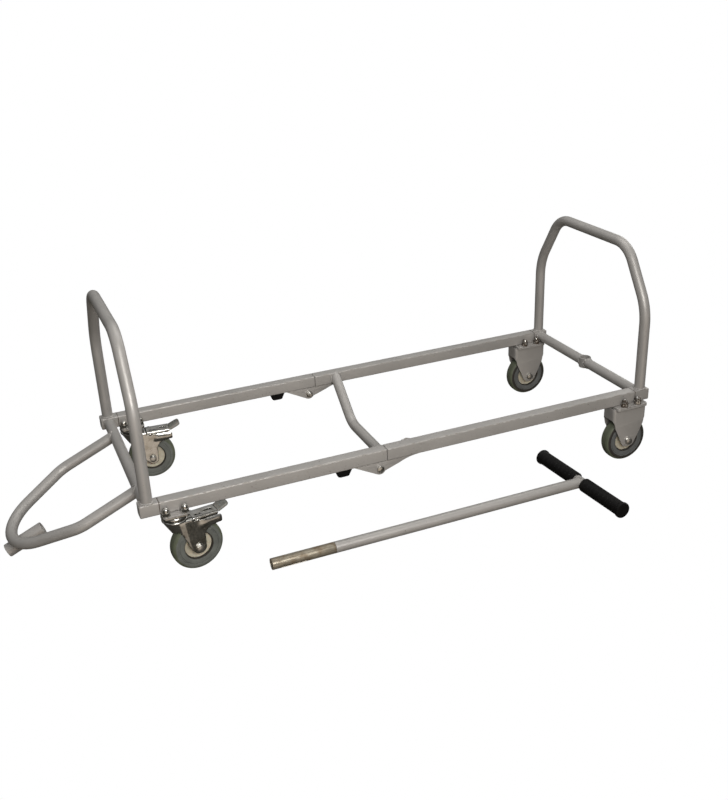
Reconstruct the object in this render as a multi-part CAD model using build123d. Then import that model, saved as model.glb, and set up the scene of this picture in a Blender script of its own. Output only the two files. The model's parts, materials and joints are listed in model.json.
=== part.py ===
"""Folding tyre trolley: hinged box rails, end loops, casters, a drawbar and a loose T-handle."""
import os
from math import asin, atan2, cos, degrees, hypot, radians, sin, tan

from build123d import *

# Lengths are millimetres. X runs from the drawbar end to the rear, Y across the trolley, Z up
# from the floor. The left side, seen by a person pulling the trolley, is at minus Y.

# Rails and their welded corner pieces
RAIL = 25.0
RAIL_WALL = 1.5
RAIL_EDGE_R = 2.5
FRAME_LENGTH = 1096.0
FRAME_WIDTH = 426.0
RAIL_RISE = 60.0
CORNER_LENGTH = 36.0
SEAM = 0.4

# Round tube of the loops, crossbars, brace, drawbar and handle
TUBE = 22.2
TUBE_WALL = 1.6
CROSSBAR_INSET = 16.5

# End loops
LOOP_SHOULDER = 178.0
LOOP_HEIGHT = 297.6
LOOP_TOP_WIDTH = 252.0
LOOP_BEND = 65.0

# Fold hinge under the rails
SPLIT_X = 481.0
SPLIT_GAP = 0.8
PIN_SETBACK = 16.0
PIN_DROP = 13.5
HINGE_PLATE = 3.0
HINGE_LOBE_R = 13.0
HINGE_PLATE_INSET = 1.0
HINGE_SIDE_GAP = 0.3
FRONT_PLATE_REACH = 53.0
REAR_PLATE_REACH = 68.0
REAR_PLATE_WAIST = 26.0
REAR_PLATE_WAIST_DEPTH = 12.0
REAR_PLATE_TIP = 2.0
SPACER_D = 16.0

# Rubber buffers under the front rails
BUFFER_SETBACK = 73.0
BUFFER_BASE = (33.0, 22.0)
BUFFER_TIP = (22.0, 14.0)
BUFFER_HEIGHT = 16.0
BUFFER_EDGE_R = 4.0

# Dropped brace between the rear rails
BRACE_SETBACK = 51.0
BRACE_DROP = 77.5
BRACE_FLAT = 198.0
BRACE_BEND = 60.0

# Drawbar: a looped tube that turns with the front crossbar
SPINDLE_D = 18.9
SPINDLE_WALL = 2.5
DRAWBAR_WIDTH = 250.0
DRAWBAR_STRAIGHT = 126.0
DRAWBAR_TAPER = 28.6
DRAWBAR_BEND = 60.0
DRAWBAR_NOSE_R = 92.0
SOCKET_OUTER = 26.9
SOCKET_BORE = 22.9
SOCKET_LENGTH = 78.0
SOCKET_OVERHANG = 25.0
SLEEVE_LENGTH = 23.0

# Loose T-handle on the floor beside the trolley
HANDLE_X = 215.0
HANDLE_Y = -270.0
HANDLE_TURN = -0.7
HANDLE_LENGTH = 671.0
SHANK_LENGTH = 126.0
SHANK_SPIGOT = 40.0
SLOT_START = 15.0
SLOT_END = 69.0
SLOT_WIDTH = 7.0
SLOT_TURN = -55.0
CROSSBAR_LENGTH = 258.0
CROSSBAR_SKEW = 3.8
GRIP_D = 29.5
GRIP_FLANGE_D = 33.0
GRIP_FLANGE = 6.0
GRIP_FLANGE_R = 2.0
GRIP_STEM_GAP = 1.9
GRIP_END = 4.0
GRIP_RIB_GAP = 12.0
GRIP_PLAIN_END = 10.0
GRIP_RIB_DEPTH = 0.6
GRIP_RIB_WIDTH = 2.0

# Casters
WHEEL_D = 100.0
TYRE_WIDTH = 26.0
TYRE_BORE = 53.0
TYRE_SHOULDER = 8.0
TYRE_CROWN = 1.0
HUB_LIP = 4.0
HUB_RECESS = 1.5
HUB_SLOPE = 2.0
HUB_WEB = 9.0
HUB_BOSS_D = 22.0
FORK_INNER = 33.0
FORK_SHEET = 3.0
FORK_BEND = 7.0
HUB_SIDE_GAP = 0.3
MOUNT_PLATE = 3.0
CASTER_PLATE = 3.5
PLATE_CORNER_R = 6.0
BOLT_EDGE = 7.5
NUT_CLEARANCE = 0.5

# Swivel casters at the drawbar end
KING_X = 62.0
TRAIL = 35.0
LEFT_SWIVEL = 8.0
RIGHT_SWIVEL = -5.0
FRONT_BOLT_PITCH = 34.0
DISH_R = 23.5
DISH_DEPTH = 8.5
RACE_GAP = 1.6
BALL_D = 6.0
BALL_RING_R = 17.0
BALL_COUNT = 10
CROWN_DISH = 3.0
CROWN_EDGE_R = 2.0
FORK_FRONT = 25.0
FORK_EYE_R = 13.0
EAR_END = 82.0
EAR_NECK = 36.0
EAR_DEPTH = 20.0
EAR_TOP = 6.0
EAR_BOW = 3.5
TYRE_CLEARANCE = 3.0
KINGPIN_D = 10.0
KINGPIN_HEAD_D = 18.0
KINGPIN_HEAD = 4.0

# Brake lever of a swivel caster
LEVER_SHEET = 2.0
LEVER_WIDTH = 31.0
LEVER_START = 29.0
LEVER_END = 78.0
LEVER_WALL = 8.0
LEVER_RISE = 12.0
LEVER_PIVOT = 36.0
LEVER_PIN_D = 5.0
LEVER_PIN_ROOM = 0.5
SHOE_X = 52.0
SHOE_LENGTH = 8.0
SHOE_GAP = 2.4
SHOE_WIDTH = 18.0
PEDAL_WIDTH = 26.0
PEDAL_LENGTH = 24.0
PEDAL_THICK = 6.0
PEDAL_TILT = 24.0
PEDAL_EDGE_R = 1.0

# Rigid casters at the rear end
REAR_AXLE_INSET = 51.0
BRACKET_LENGTH = 80.0
BRACKET_SKIRT = 26.0
BRACKET_EYE_R = 20.0

# Fasteners
BOLT_D = 8.0
BOLT_HOLE = 8.6
HEX_FLATS = 13.0
HEAD_HEIGHT = 5.3
NUT_HEIGHT = 8.0
DOME_NUT_HEIGHT = 15.0
DOME_NUT_HEX = 6.5
DOME_NUT_DEPTH = 11.0
DOME_R = 5.5
WASHER_D = 15.0
WASHER = 1.6
THREAD_END = 2.0

# Fits
TURNING_FIT = 0.05
SEAT = 0.02

# Places worked out from the sizes above
RAIL_Y = (FRAME_WIDTH - RAIL) / 2
RAIL_TOP = WHEEL_D + RAIL_RISE
LEVER_TOP = WHEEL_D + LEVER_RISE
RAIL_UNDER = RAIL_TOP - RAIL
RAIL_MID = RAIL_TOP - RAIL / 2
RAIL_INNER = RAIL_Y - RAIL / 2
REAR_CROSSBAR_X = FRAME_LENGTH - CROSSBAR_INSET
PIN_X = SPLIT_X - PIN_SETBACK
PIN_Z = RAIL_UNDER - PIN_DROP
BUFFER_X = PIN_X - BUFFER_SETBACK
BRACE_X = SPLIT_X + BRACE_SETBACK
REAR_AXLE_X = FRAME_LENGTH - REAR_AXLE_INSET
PLATE_OUTER_Y = RAIL / 2 - HINGE_PLATE_INSET
PLATE_INNER_Y = PLATE_OUTER_Y - HINGE_PLATE - HINGE_SIDE_GAP
SPACER_LENGTH = 2 * (PLATE_INNER_Y - HINGE_PLATE - HINGE_SIDE_GAP)
FORK_OUTER = FORK_INNER + 2 * FORK_SHEET
BOLT_Y = RAIL / 2 + HEX_FLATS / 3 ** 0.5 + NUT_CLEARANCE
PLATE_WIDTH = 2 * (BOLT_Y + BOLT_EDGE)
FRONT_PLATE_LENGTH = FRONT_BOLT_PITCH + 2 * BOLT_EDGE
REAR_BOLT_ROOM = REAR_CROSSBAR_X - TUBE / 2 - REAR_AXLE_X
REAR_BOLT_PITCH = 2 * (REAR_BOLT_ROOM - HEX_FLATS / 2 - NUT_CLEARANCE)
CASTER_TOP = RAIL_UNDER - MOUNT_PLATE
PLATE_UNDER = CASTER_TOP - CASTER_PLATE
DISH_UNDER = PLATE_UNDER - DISH_DEPTH
CROWN_TOP = DISH_UNDER - RACE_GAP
FORK_TOP = CROWN_TOP - CROWN_DISH
AXLE_Z = WHEEL_D / 2
BALL_Z = (DISH_UNDER + CROWN_TOP) / 2
SOCKET_DROP = (TUBE + SOCKET_OUTER) / 2 + SEAT
STUD_HOLE = BOLT_D + 2 * SEAT
GRIP_START = TUBE / 2 + GRIP_STEM_GAP
GRIP_LENGTH = CROSSBAR_LENGTH / 2 + GRIP_END - GRIP_START


def rest_angle():
    """Slope of the drawbar, in degrees, that lays the rim of its socket on the floor."""
    reach = nose_reach() + SOCKET_OVERHANG
    depth = SOCKET_DROP + SOCKET_OUTER / 2
    return degrees(asin(RAIL_MID / hypot(reach, depth)) - atan2(depth, reach))


def nose_reach():
    """Distance from the drawbar's axis to the middle of its nose."""
    taper = radians(DRAWBAR_TAPER)
    centre = DRAWBAR_STRAIGHT + (DRAWBAR_WIDTH / 2 * cos(taper) - DRAWBAR_NOSE_R) / sin(taper)
    return centre + DRAWBAR_NOSE_R


def bent_path(points, radii):
    """Wire through the points, with an arc of the given radius at each inner corner."""
    corners = [Vector(*point) for point in points]
    edges = []
    start = corners[0]
    for before, corner, after, radius in zip(corners, corners[1:], corners[2:], radii):
        into = (corner - before).normalized()
        out = (after - corner).normalized()
        reach = radius * tan(radians(into.get_angle(out) / 2))
        first = corner - into * reach
        last = corner + out * reach
        edges.append(Line(start, first))
        edges.append(TangentArc(first, last, tangent=into))
        start = last
    edges.append(Line(start, corners[-1]))
    return Wire(edges)


def bent_tube(points, radii, outer=TUBE, wall=TUBE_WALL):
    """Round tube bent along the points."""
    path = bent_path(points, radii)
    section = Circle(outer / 2) - Circle(outer / 2 - wall)
    return sweep(Plane(origin=path @ 0, z_dir=path % 0) * section, path=path)


def straight_tube(start, direction, length, outer=TUBE, bore=TUBE - 2 * TUBE_WALL):
    """Round tube from a start point along a direction."""
    section = Circle(outer / 2) - Circle(bore / 2)
    return extrude(Plane(origin=start, z_dir=direction) * section, amount=length)


def rod(start, direction, length, diameter):
    """Round bar from a start point along a direction."""
    return extrude(Plane(origin=start, z_dir=direction) * Circle(diameter / 2), amount=length)


def group(solids):
    """Several separate solids kept together in one node."""
    return Compound(children=[part for solid in solids for part in solid.solids()])


def both_sides(solid):
    """A solid and its mirror image across the trolley's middle plane."""
    return [solid, mirror(solid, about=Plane.XZ)]


# Frame

def rail(start, end, y):
    """Box-section rail between two stations."""
    section = RectangleRounded(RAIL, RAIL, RAIL_EDGE_R)
    inside = RAIL - 2 * RAIL_WALL
    section -= RectangleRounded(inside, inside, RAIL_EDGE_R - RAIL_WALL)
    plane = Plane(origin=(start, y, RAIL_MID), x_dir=(0, 1, 0), z_dir=(1, 0, 0))
    return extrude(plane * section, amount=end - start)


def corner(start, outward, y):
    """Closed end piece of a rail, hollow towards the rail. It starts at the rail's outer end."""
    plane = Plane(origin=(start, y, RAIL_MID), x_dir=(0, 1, 0), z_dir=(-outward, 0, 0))
    inside = RAIL - 2 * RAIL_WALL
    block = extrude(plane * RectangleRounded(RAIL, RAIL, RAIL_EDGE_R), amount=CORNER_LENGTH)
    section = RectangleRounded(inside, inside, RAIL_EDGE_R - RAIL_WALL)
    cavity = extrude(plane * section, amount=CORNER_LENGTH)
    return block - Pos(-outward * RAIL_WALL, 0, 0) * cavity


def front_corner():
    """Left front corner piece, bored for the drawbar spindle."""
    hole = rod((CROSSBAR_INSET, -RAIL_Y, RAIL_MID), (0, 1, 0), RAIL, SPINDLE_D + 2 * SEAT)
    return corner(0, -1, -RAIL_Y) - hole


def end_loop(x):
    """Upright tube loop standing on both rails."""
    shoulder = RAIL_TOP + LOOP_SHOULDER
    top = RAIL_TOP + LOOP_HEIGHT
    half = LOOP_TOP_WIDTH / 2
    points = [
        (x, -RAIL_Y, RAIL_TOP),
        (x, -RAIL_Y, shoulder),
        (x, -half, top),
        (x, half, top),
        (x, RAIL_Y, shoulder),
        (x, RAIL_Y, RAIL_TOP),
    ]
    return bent_tube(points, [LOOP_BEND] * 4)


def drawbar_spindle():
    """Fixed tube between the front corner pieces, on which the drawbar turns."""
    half = RAIL_Y + RAIL / 2 - RAIL_WALL - SEAT
    bore = SPINDLE_D - 2 * SPINDLE_WALL
    return straight_tube((CROSSBAR_INSET, -half, RAIL_MID), (0, 1, 0), 2 * half, SPINDLE_D, bore)


def rear_crossbar():
    """Tube between the rear corner pieces, with the handle's sleeve through its middle."""
    tube = straight_tube((REAR_CROSSBAR_X, -RAIL_INNER, RAIL_MID), (0, 1, 0), 2 * RAIL_INNER)
    return tube - Pos(REAR_CROSSBAR_X, 0, RAIL_MID) * Cylinder(SOCKET_OUTER / 2 + SEAT, RAIL)


def handle_sleeve():
    """Upright sleeve in the rear crossbar that takes the handle's shank."""
    start = (REAR_CROSSBAR_X, 0, RAIL_MID - SLEEVE_LENGTH / 2)
    return straight_tube(start, (0, 0, 1), SLEEVE_LENGTH, SOCKET_OUTER, SOCKET_BORE)


def mid_brace():
    """Bent cross tube that hangs below the rear rails, cut square to their inner faces."""
    half = BRACE_FLAT / 2
    low = RAIL_MID - BRACE_DROP
    slope = BRACE_DROP / (RAIL_INNER - half)
    spare = RAIL_INNER + TUBE
    high = RAIL_MID + slope * TUBE
    points = [
        (BRACE_X, -spare, high),
        (BRACE_X, -half, low),
        (BRACE_X, half, low),
        (BRACE_X, spare, high),
    ]
    room = Pos(BRACE_X, 0, RAIL_MID) * Box(2 * TUBE, 2 * RAIL_INNER, 4 * BRACE_DROP)
    return bent_tube(points, [BRACE_BEND] * 2) & room


# Fold hinge

def hinge_sheet(face, inner, outer, side):
    """Hinge plate cut from an outline in the XZ plane, between two distances from its rail's middle."""
    near = RAIL_Y + side * inner
    plane = Plane(origin=(PIN_X, -near, RAIL_UNDER), x_dir=(1, 0, 0), z_dir=(0, -side, 0))
    plate = extrude(plane * face, amount=outer - inner)
    bore = rod((PIN_X, -RAIL_Y - RAIL, PIN_Z), (0, 1, 0), 2 * RAIL, BOLT_D + 2 * TURNING_FIT)
    return plate - bore


def front_plate_face(side):
    """Outline of a front hinge plate, measured from the rail's underside above the pin."""
    lobe = Pos(0, -PIN_DROP) * Circle(HINGE_LOBE_R)
    seat = Line((-FRONT_PLATE_REACH, 0), (HINGE_LOBE_R, 0))
    return flip_for(side, make_hull([*lobe.edges(), seat]))


def rear_plate_face(side):
    """Outline of a rear hinge plate: a lobe round the pin and a hollow tail along the rail."""
    start = PIN_SETBACK + SPLIT_GAP
    waist = start + REAR_PLATE_WAIST
    tip = start + REAR_PLATE_REACH
    drop = PIN_DROP - HINGE_LOBE_R
    lobe = Pos(0, -PIN_DROP) * Circle(HINGE_LOBE_R)
    edge = Line((start, -drop), (waist, -drop))
    side_edge = Line((waist, -drop), (waist, -REAR_PLATE_WAIST_DEPTH))
    main = make_hull([*lobe.edges(), edge, side_edge])
    bow = ((waist + tip) / 2, -(REAR_PLATE_WAIST_DEPTH + REAR_PLATE_TIP) / 3)
    tail = make_face([
        Line((start, 0), (tip, 0)),
        Line((tip, 0), (tip, -REAR_PLATE_TIP)),
        ThreePointArc((tip, -REAR_PLATE_TIP), bow, (waist, -REAR_PLATE_WAIST_DEPTH)),
        Line((waist, -REAR_PLATE_WAIST_DEPTH), (start, -REAR_PLATE_WAIST_DEPTH)),
        Line((start, -REAR_PLATE_WAIST_DEPTH), (start, 0)),
    ])
    return flip_for(side, main + tail)


def flip_for(side, face):
    """Outline as seen from the side that its plate is drawn on."""
    return face if side > 0 else mirror(face, about=Plane.XZ)


def hinge_plates(face, outer):
    """The four hinge plates of one half: a pair under each rail."""
    plates = []
    for side in (1, -1):
        plates.append(hinge_sheet(face(side), outer - HINGE_PLATE, outer, side))
    return group([copy for plate in plates for copy in both_sides(plate)])


def hinge_bolt():
    """Left hinge bolt, its head on the trolley's outer side."""
    y = -RAIL_Y - PLATE_OUTER_Y - HINGE_SIDE_GAP
    length = 2 * (PLATE_OUTER_Y + HINGE_SIDE_GAP) + NUT_HEIGHT + THREAD_END
    return bolt((PIN_X, y, PIN_Z), (0, 1, 0), length)


def hinge_nut():
    """Left hinge nut, on the trolley's inner side."""
    y = -RAIL_Y + PLATE_OUTER_Y + HINGE_SIDE_GAP
    return nut((PIN_X, y, PIN_Z), (0, 1, 0))


def hinge_spacer():
    """Bush that keeps the rear pair of plates apart under the left rail."""
    start = (PIN_X, -RAIL_Y - SPACER_LENGTH / 2, PIN_Z)
    return straight_tube(start, (0, 1, 0), SPACER_LENGTH, SPACER_D, BOLT_D + 2 * SEAT)


def buffer():
    """Tapered rubber buffer under the left front rail."""
    ends = []
    for depth, size in ((0, BUFFER_BASE), (BUFFER_HEIGHT, BUFFER_TIP)):
        plane = Plane(origin=(BUFFER_X, -RAIL_Y, RAIL_UNDER - depth))
        ends.append(plane * RectangleRounded(*size, BUFFER_EDGE_R))
    return loft(ends)


# Fasteners

def hexagon(start, direction, height):
    """Hexagonal block with two of its flats facing along X."""
    side = Vector(0, 1, 0) if abs(direction[1]) < 0.5 else Vector(0, 0, 1)
    plane = Plane(origin=start, x_dir=side, z_dir=direction)
    return extrude(plane * RegularPolygon(HEX_FLATS / 2, 6, major_radius=False, rotation=30), amount=height)


def bolt(seat, direction, length):
    """Hexagon bolt whose head bears on the seat and whose shank runs along the direction."""
    back = tuple(-value for value in direction)
    return hexagon(seat, back, HEAD_HEIGHT) + rod(seat, direction, length, BOLT_D)


def nut(seat, direction):
    """Locking nut: a hexagon with a round collar."""
    collar = NUT_HEIGHT / 3
    top = tuple(at + along * (NUT_HEIGHT - collar) for at, along in zip(seat, direction))
    body = hexagon(seat, direction, NUT_HEIGHT - collar) + rod(top, direction, collar, HEX_FLATS - 1)
    return body - rod(seat, direction, NUT_HEIGHT, BOLT_D + 2 * SEAT)


def dome_nut(seat):
    """Domed cap nut standing on a seat: a hexagon and a rounded blind cap."""
    x, y, z = seat
    cap = rod((x, y, z + DOME_NUT_HEX), (0, 0, 1), DOME_NUT_HEIGHT - DOME_NUT_HEX, HEX_FLATS - 1)
    cap = fillet(cap.edges().group_by(Axis.Z)[-1], DOME_R)
    body = hexagon(seat, (0, 0, 1), DOME_NUT_HEX) + cap
    return body - rod(seat, (0, 0, 1), DOME_NUT_DEPTH + SEAT, BOLT_D + 2 * SEAT)


def bolt_places(centre_x, pitch):
    """Places of the four plate studs of each of two casters."""
    places = []
    for rail_y in (-RAIL_Y, RAIL_Y):
        for x in (centre_x - pitch / 2, centre_x + pitch / 2):
            for y in (rail_y - BOLT_Y, rail_y + BOLT_Y):
                places.append((x, y))
    return places


def caster_bolts(places):
    """Studs pressed into the caster plates, flush underneath."""
    length = RAIL_UNDER + WASHER + DOME_NUT_DEPTH - PLATE_UNDER
    return group([rod((x, y, PLATE_UNDER), (0, 0, 1), length, BOLT_D) for x, y in places])


def caster_washers(places):
    """Washers on the mounting plates."""
    washers = []
    for x, y in places:
        washers.append(straight_tube((x, y, RAIL_UNDER), (0, 0, 1), WASHER, WASHER_D, BOLT_HOLE))
    return group(washers)


def caster_nuts(places):
    """Domed nuts on the washers."""
    return group([dome_nut((x, y, RAIL_UNDER + WASHER)) for x, y in places])


# Casters

def stud_plate(centre_x, length, pitch, top, thickness, hole):
    """Left caster's rectangular plate with its four stud holes."""
    sketch = RectangleRounded(length, PLATE_WIDTH, PLATE_CORNER_R)
    sketch -= GridLocations(pitch, 2 * BOLT_Y, 2, 2) * Circle(hole / 2)
    return extrude(Plane(origin=(centre_x, -RAIL_Y, top - thickness)) * sketch, amount=thickness)


def race(z):
    """Ring of room for the balls, about the swivel axis."""
    return Pos(0, 0, z) * Torus(BALL_RING_R, BALL_D / 2 + TURNING_FIT)


def swivel_plate():
    """Left swivel caster's top plate with its pressed dish and upper ball race."""
    plate = stud_plate(KING_X, FRONT_PLATE_LENGTH, FRONT_BOLT_PITCH, CASTER_TOP, CASTER_PLATE, STUD_HOLE)
    dish = extrude(Plane.XY.offset(DISH_UNDER) * Circle(DISH_R), amount=DISH_DEPTH)
    dish = fillet(dish.edges().group_by(Axis.Z)[0], FORK_SHEET)
    dish -= race(BALL_Z)
    bore = rod((0, 0, DISH_UNDER), (0, 0, 1), RAIL, KINGPIN_D + 2 * SEAT)
    at_king = Pos(KING_X, -RAIL_Y, 0)
    return plate + at_king * dish - at_king * bore


def kingpin():
    """Riveted pin of the left swivel, its head under the fork's crown."""
    under = FORK_TOP - FORK_SHEET - SEAT
    pin = rod((0, 0, under), (0, 0, 1), CASTER_TOP - under, KINGPIN_D)
    head = rod((0, 0, under - KINGPIN_HEAD), (0, 0, 1), KINGPIN_HEAD, KINGPIN_HEAD_D)
    head = fillet(head.edges().group_by(Axis.Z)[0], KINGPIN_HEAD / 2)
    return Pos(KING_X, -RAIL_Y, 0) * (pin + head)


def swivel_balls():
    """Ring of balls of the left swivel."""
    ring = PolarLocations(BALL_RING_R, BALL_COUNT)
    return [Pos(KING_X, -RAIL_Y, BALL_Z) * place * Sphere(BALL_D / 2) for place in ring]


def fork_outline(inset):
    """Side view of the fork, drawn in by the sheet's thickness for its inside."""
    front = -FORK_FRONT + inset
    top = FORK_TOP - inset
    eye = Pos(TRAIL, AXLE_Z) * Circle(FORK_EYE_R - inset)
    brow = Line((front, top), (TRAIL + FORK_EYE_R - inset, top))
    chin = Line((front, top), (front, top - FORK_SHEET))
    return make_hull([*eye.edges(), brow, chin])


def fork_ear():
    """Side view of a leg's rear ear, which runs back beside the brake lever."""
    back = TRAIL + FORK_EYE_R
    root = LEVER_PIVOT
    top = LEVER_TOP - EAR_TOP
    neck = (back, LEVER_TOP - EAR_NECK)
    heel = (EAR_END, LEVER_TOP - EAR_DEPTH)
    bow = ((neck[0] + heel[0]) / 2, (neck[1] + heel[1]) / 2 + EAR_BOW)
    return make_face([
        ThreePointArc(neck, bow, heel),
        Line(heel, (EAR_END, top)),
        Line((EAR_END, top), (root, top)),
        Line((root, top), (root, neck[1])),
        Line((root, neck[1]), neck),
    ])


def fork():
    """Pressed fork about the swivel axis, trailing along X: crown, hood and two eared legs."""
    side = Plane.XZ.offset(-FORK_OUTER / 2)
    shell = extrude(side * fork_outline(0), amount=FORK_OUTER)
    bends = shell.edges().filter_by(Axis.X).group_by(Axis.Z)[-1]
    shell = fillet(bends, FORK_BEND)
    inner = Plane.XZ.offset(-FORK_INNER / 2)
    shell -= extrude(inner * fork_outline(FORK_SHEET), amount=FORK_INNER)
    axle = Plane(origin=(TRAIL, FORK_INNER / 2, AXLE_Z), z_dir=(0, -1, 0))
    shell -= extrude(axle * Circle(WHEEL_D / 2 + TYRE_CLEARANCE), amount=FORK_INNER)
    back = LEVER_START - LEVER_SHEET
    shell -= Pos(back + WHEEL_D / 2, 0, FORK_TOP) * Box(WHEEL_D, FORK_INNER, WHEEL_D)
    for outer in (FORK_OUTER / 2, -FORK_INNER / 2):
        shell += extrude(Plane.XZ.offset(-outer) * fork_ear(), amount=FORK_SHEET)
    crown_under = Plane.XY.offset(FORK_TOP - FORK_SHEET)
    crown = extrude(crown_under * Circle(DISH_R), amount=FORK_SHEET + CROWN_DISH)
    shell += fillet(crown.edges().group_by(Axis.Z)[-1], CROWN_EDGE_R)
    shell -= race(BALL_Z)
    shell -= rod((0, 0, AXLE_Z), (0, 0, 1), WHEEL_D, KINGPIN_D + 2 * TURNING_FIT)
    shell -= rod((TRAIL, -WHEEL_D, AXLE_Z), (0, 1, 0), 2 * WHEEL_D, BOLT_D + 2 * SEAT)
    pivot = (LEVER_PIVOT, -WHEEL_D, lever_pivot_z())
    return shell - rod(pivot, (0, 1, 0), 2 * WHEEL_D, LEVER_PIN_D + 2 * TURNING_FIT)


def lever_pivot_z():
    """Height of the brake lever's pivot."""
    return LEVER_TOP - LEVER_SHEET - LEVER_PIN_ROOM - LEVER_PIN_D / 2


def brake_lever():
    """Pressed brake lever with its pivot pin and the shoe that bears on the tyre."""
    length = LEVER_END - LEVER_START
    middle = (LEVER_START + LEVER_END) / 2
    channel = Pos(middle, 0, LEVER_TOP - LEVER_WALL / 2) * Box(length, LEVER_WIDTH, LEVER_WALL)
    channel = fillet(channel.edges().filter_by(Axis.X).group_by(Axis.Z)[-1], LEVER_SHEET)
    inside = Pos(middle, 0, LEVER_TOP - LEVER_SHEET - LEVER_WALL) * Box(
        length, LEVER_WIDTH - 2 * LEVER_SHEET, 2 * LEVER_WALL)
    channel -= inside
    edge = SHOE_X - SHOE_LENGTH / 2 - TRAIL
    tread = AXLE_Z + (WHEEL_D ** 2 / 4 - edge ** 2) ** 0.5
    shoe_low = tread + SHOE_GAP
    shoe_high = LEVER_TOP - LEVER_SHEET / 2
    shoe = Pos(SHOE_X, 0, (shoe_low + shoe_high) / 2) * Box(SHOE_LENGTH, SHOE_WIDTH, shoe_high - shoe_low)
    pin = rod((LEVER_PIVOT, -FORK_OUTER / 2, lever_pivot_z()), (0, 1, 0), FORK_OUTER, LEVER_PIN_D)
    return channel + shoe + pin


def brake_pedal():
    """Grey moulded pedal that rises from the end of the brake lever."""
    body = Box(PEDAL_LENGTH, PEDAL_WIDTH, PEDAL_THICK, align=(Align.MIN, Align.CENTER, Align.MAX))
    body = fillet(body.edges().filter_by(Axis.Z).group_by(Axis.X)[-1], PEDAL_THICK)
    body = fillet(body.edges().group_by(Axis.Z)[-1], PEDAL_EDGE_R)
    return Pos(LEVER_END + SEAT, 0, LEVER_TOP) * Rot(0, -PEDAL_TILT, 0) * body - lever_room()


def lever_room():
    """Space taken up by the lever's end, kept free of the pedal."""
    room = Box(2 * PEDAL_LENGTH, 2 * PEDAL_WIDTH, 4 * LEVER_WALL)
    return Pos(LEVER_END + SEAT - PEDAL_LENGTH, 0, LEVER_TOP) * room


def tyre():
    """Tyre about the Y axis at the origin, with rounded shoulders and a raised side ring."""
    outer = WHEEL_D / 2
    inner = TYRE_BORE / 2 + SEAT
    half = TYRE_WIDTH / 2
    waist = (outer + inner) / 2
    edge = outer - TYRE_CROWN
    bead = half - TYRE_CROWN
    side = [(edge, half), (waist, half), (inner, bead)]
    other = [(x, -y) for x, y in reversed(side)]
    profile = Plane.XY * make_face(Polyline((outer, 0), *side, *other, close=True))
    corners = profile.vertices().filter_by_position(Axis.X, edge - SEAT, edge + SEAT)
    return revolve(fillet(corners, TYRE_SHOULDER), Axis.Y)


def hub():
    """Moulded hub about the Y axis: rim, dished web and long boss."""
    rim = TYRE_BORE / 2
    boss = HUB_BOSS_D / 2
    bore = BOLT_D / 2 + TURNING_FIT
    half_rim = TYRE_WIDTH / 2 - HUB_RECESS
    half_web = HUB_WEB / 2
    half_boss = FORK_INNER / 2 - HUB_SIDE_GAP
    side = [
        (rim, half_rim),
        (rim - HUB_LIP, half_rim),
        (rim - HUB_LIP - HUB_SLOPE, half_web),
        (boss + HUB_SLOPE, half_web),
        (boss, half_boss),
        (bore, half_boss),
    ]
    other = [(x, -y) for x, y in reversed(side)]
    return revolve(make_face(Polyline(*side, *other, close=True)), Axis.Y)


def rigid_outline(inset):
    """Side view of the rigid bracket, drawn in by the sheet's thickness for its inside."""
    half = BRACKET_LENGTH / 2 - inset
    top = CASTER_TOP - inset
    hip = PLATE_UNDER - BRACKET_SKIRT
    eye = Pos(0, AXLE_Z) * Circle(BRACKET_EYE_R - inset)
    return make_hull([*eye.edges(), Line((-half, top), (half, top)), Line((-half, hip), (half, hip))])


def rigid_bracket():
    """Left rigid caster bracket: bolted flange, skirted hood and two tapering legs."""
    hood = extrude(Plane.XZ.offset(-FORK_OUTER / 2) * rigid_outline(0), amount=FORK_OUTER)
    hood = fillet(hood.edges().filter_by(Axis.Z), FORK_SHEET)
    room = extrude(Plane.XZ.offset(-FORK_INNER / 2) * rigid_outline(FORK_SHEET), amount=FORK_INNER)
    axle = Plane(origin=(0, FORK_INNER / 2, AXLE_Z), z_dir=(0, -1, 0))
    room += extrude(axle * Circle(WHEEL_D / 2 + TYRE_CLEARANCE), amount=FORK_INNER)
    hood = hood - room - rod((0, -WHEEL_D, AXLE_Z), (0, 1, 0), 2 * WHEEL_D, BOLT_D + 2 * SEAT)
    plate = stud_plate(REAR_AXLE_X, BRACKET_LENGTH, REAR_BOLT_PITCH, CASTER_TOP, CASTER_PLATE, STUD_HOLE)
    bracket = Pos(REAR_AXLE_X, -RAIL_Y, 0) * hood + plate
    for x, y in bolt_places(REAR_AXLE_X, REAR_BOLT_PITCH):
        bracket -= rod((x, y, PLATE_UNDER), (0, 0, 1), RAIL, STUD_HOLE)
    return bracket


def axle_bolt():
    """Axle bolt along Y about the origin, its head against the fork's outer side."""
    length = FORK_OUTER + NUT_HEIGHT + THREAD_END
    return bolt((0, -FORK_OUTER / 2, 0), (0, 1, 0), length)


def axle_nut():
    """Nut of an axle bolt about the origin."""
    return nut((0, FORK_OUTER / 2, 0), (0, 1, 0))


def swivel_place(side):
    """Place of a swivel caster: its kingpin's foot on the floor, turned to its resting angle."""
    turn = LEFT_SWIVEL if side < 0 else RIGHT_SWIVEL
    return Pos(KING_X, side * RAIL_Y, 0) * Rot(0, 0, turn)


def rear_axle_place(side):
    """Place of a rear axle."""
    return Pos(REAR_AXLE_X, side * RAIL_Y, AXLE_Z)


# Drawbar

def drawbar_pose():
    """Places drawbar pieces that are drawn level, pointing along minus X from the axis at the origin."""
    return Pos(CROSSBAR_INSET, 0, RAIL_MID) * Rot(0, -rest_angle(), 0)


def drawbar_crossbar():
    """Tube that turns on the spindle between the corner pieces."""
    half = RAIL_INNER - HINGE_SIDE_GAP
    return straight_tube((0, -half, 0), (0, 1, 0), 2 * half, TUBE, SPINDLE_D + 2 * TURNING_FIT)


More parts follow.
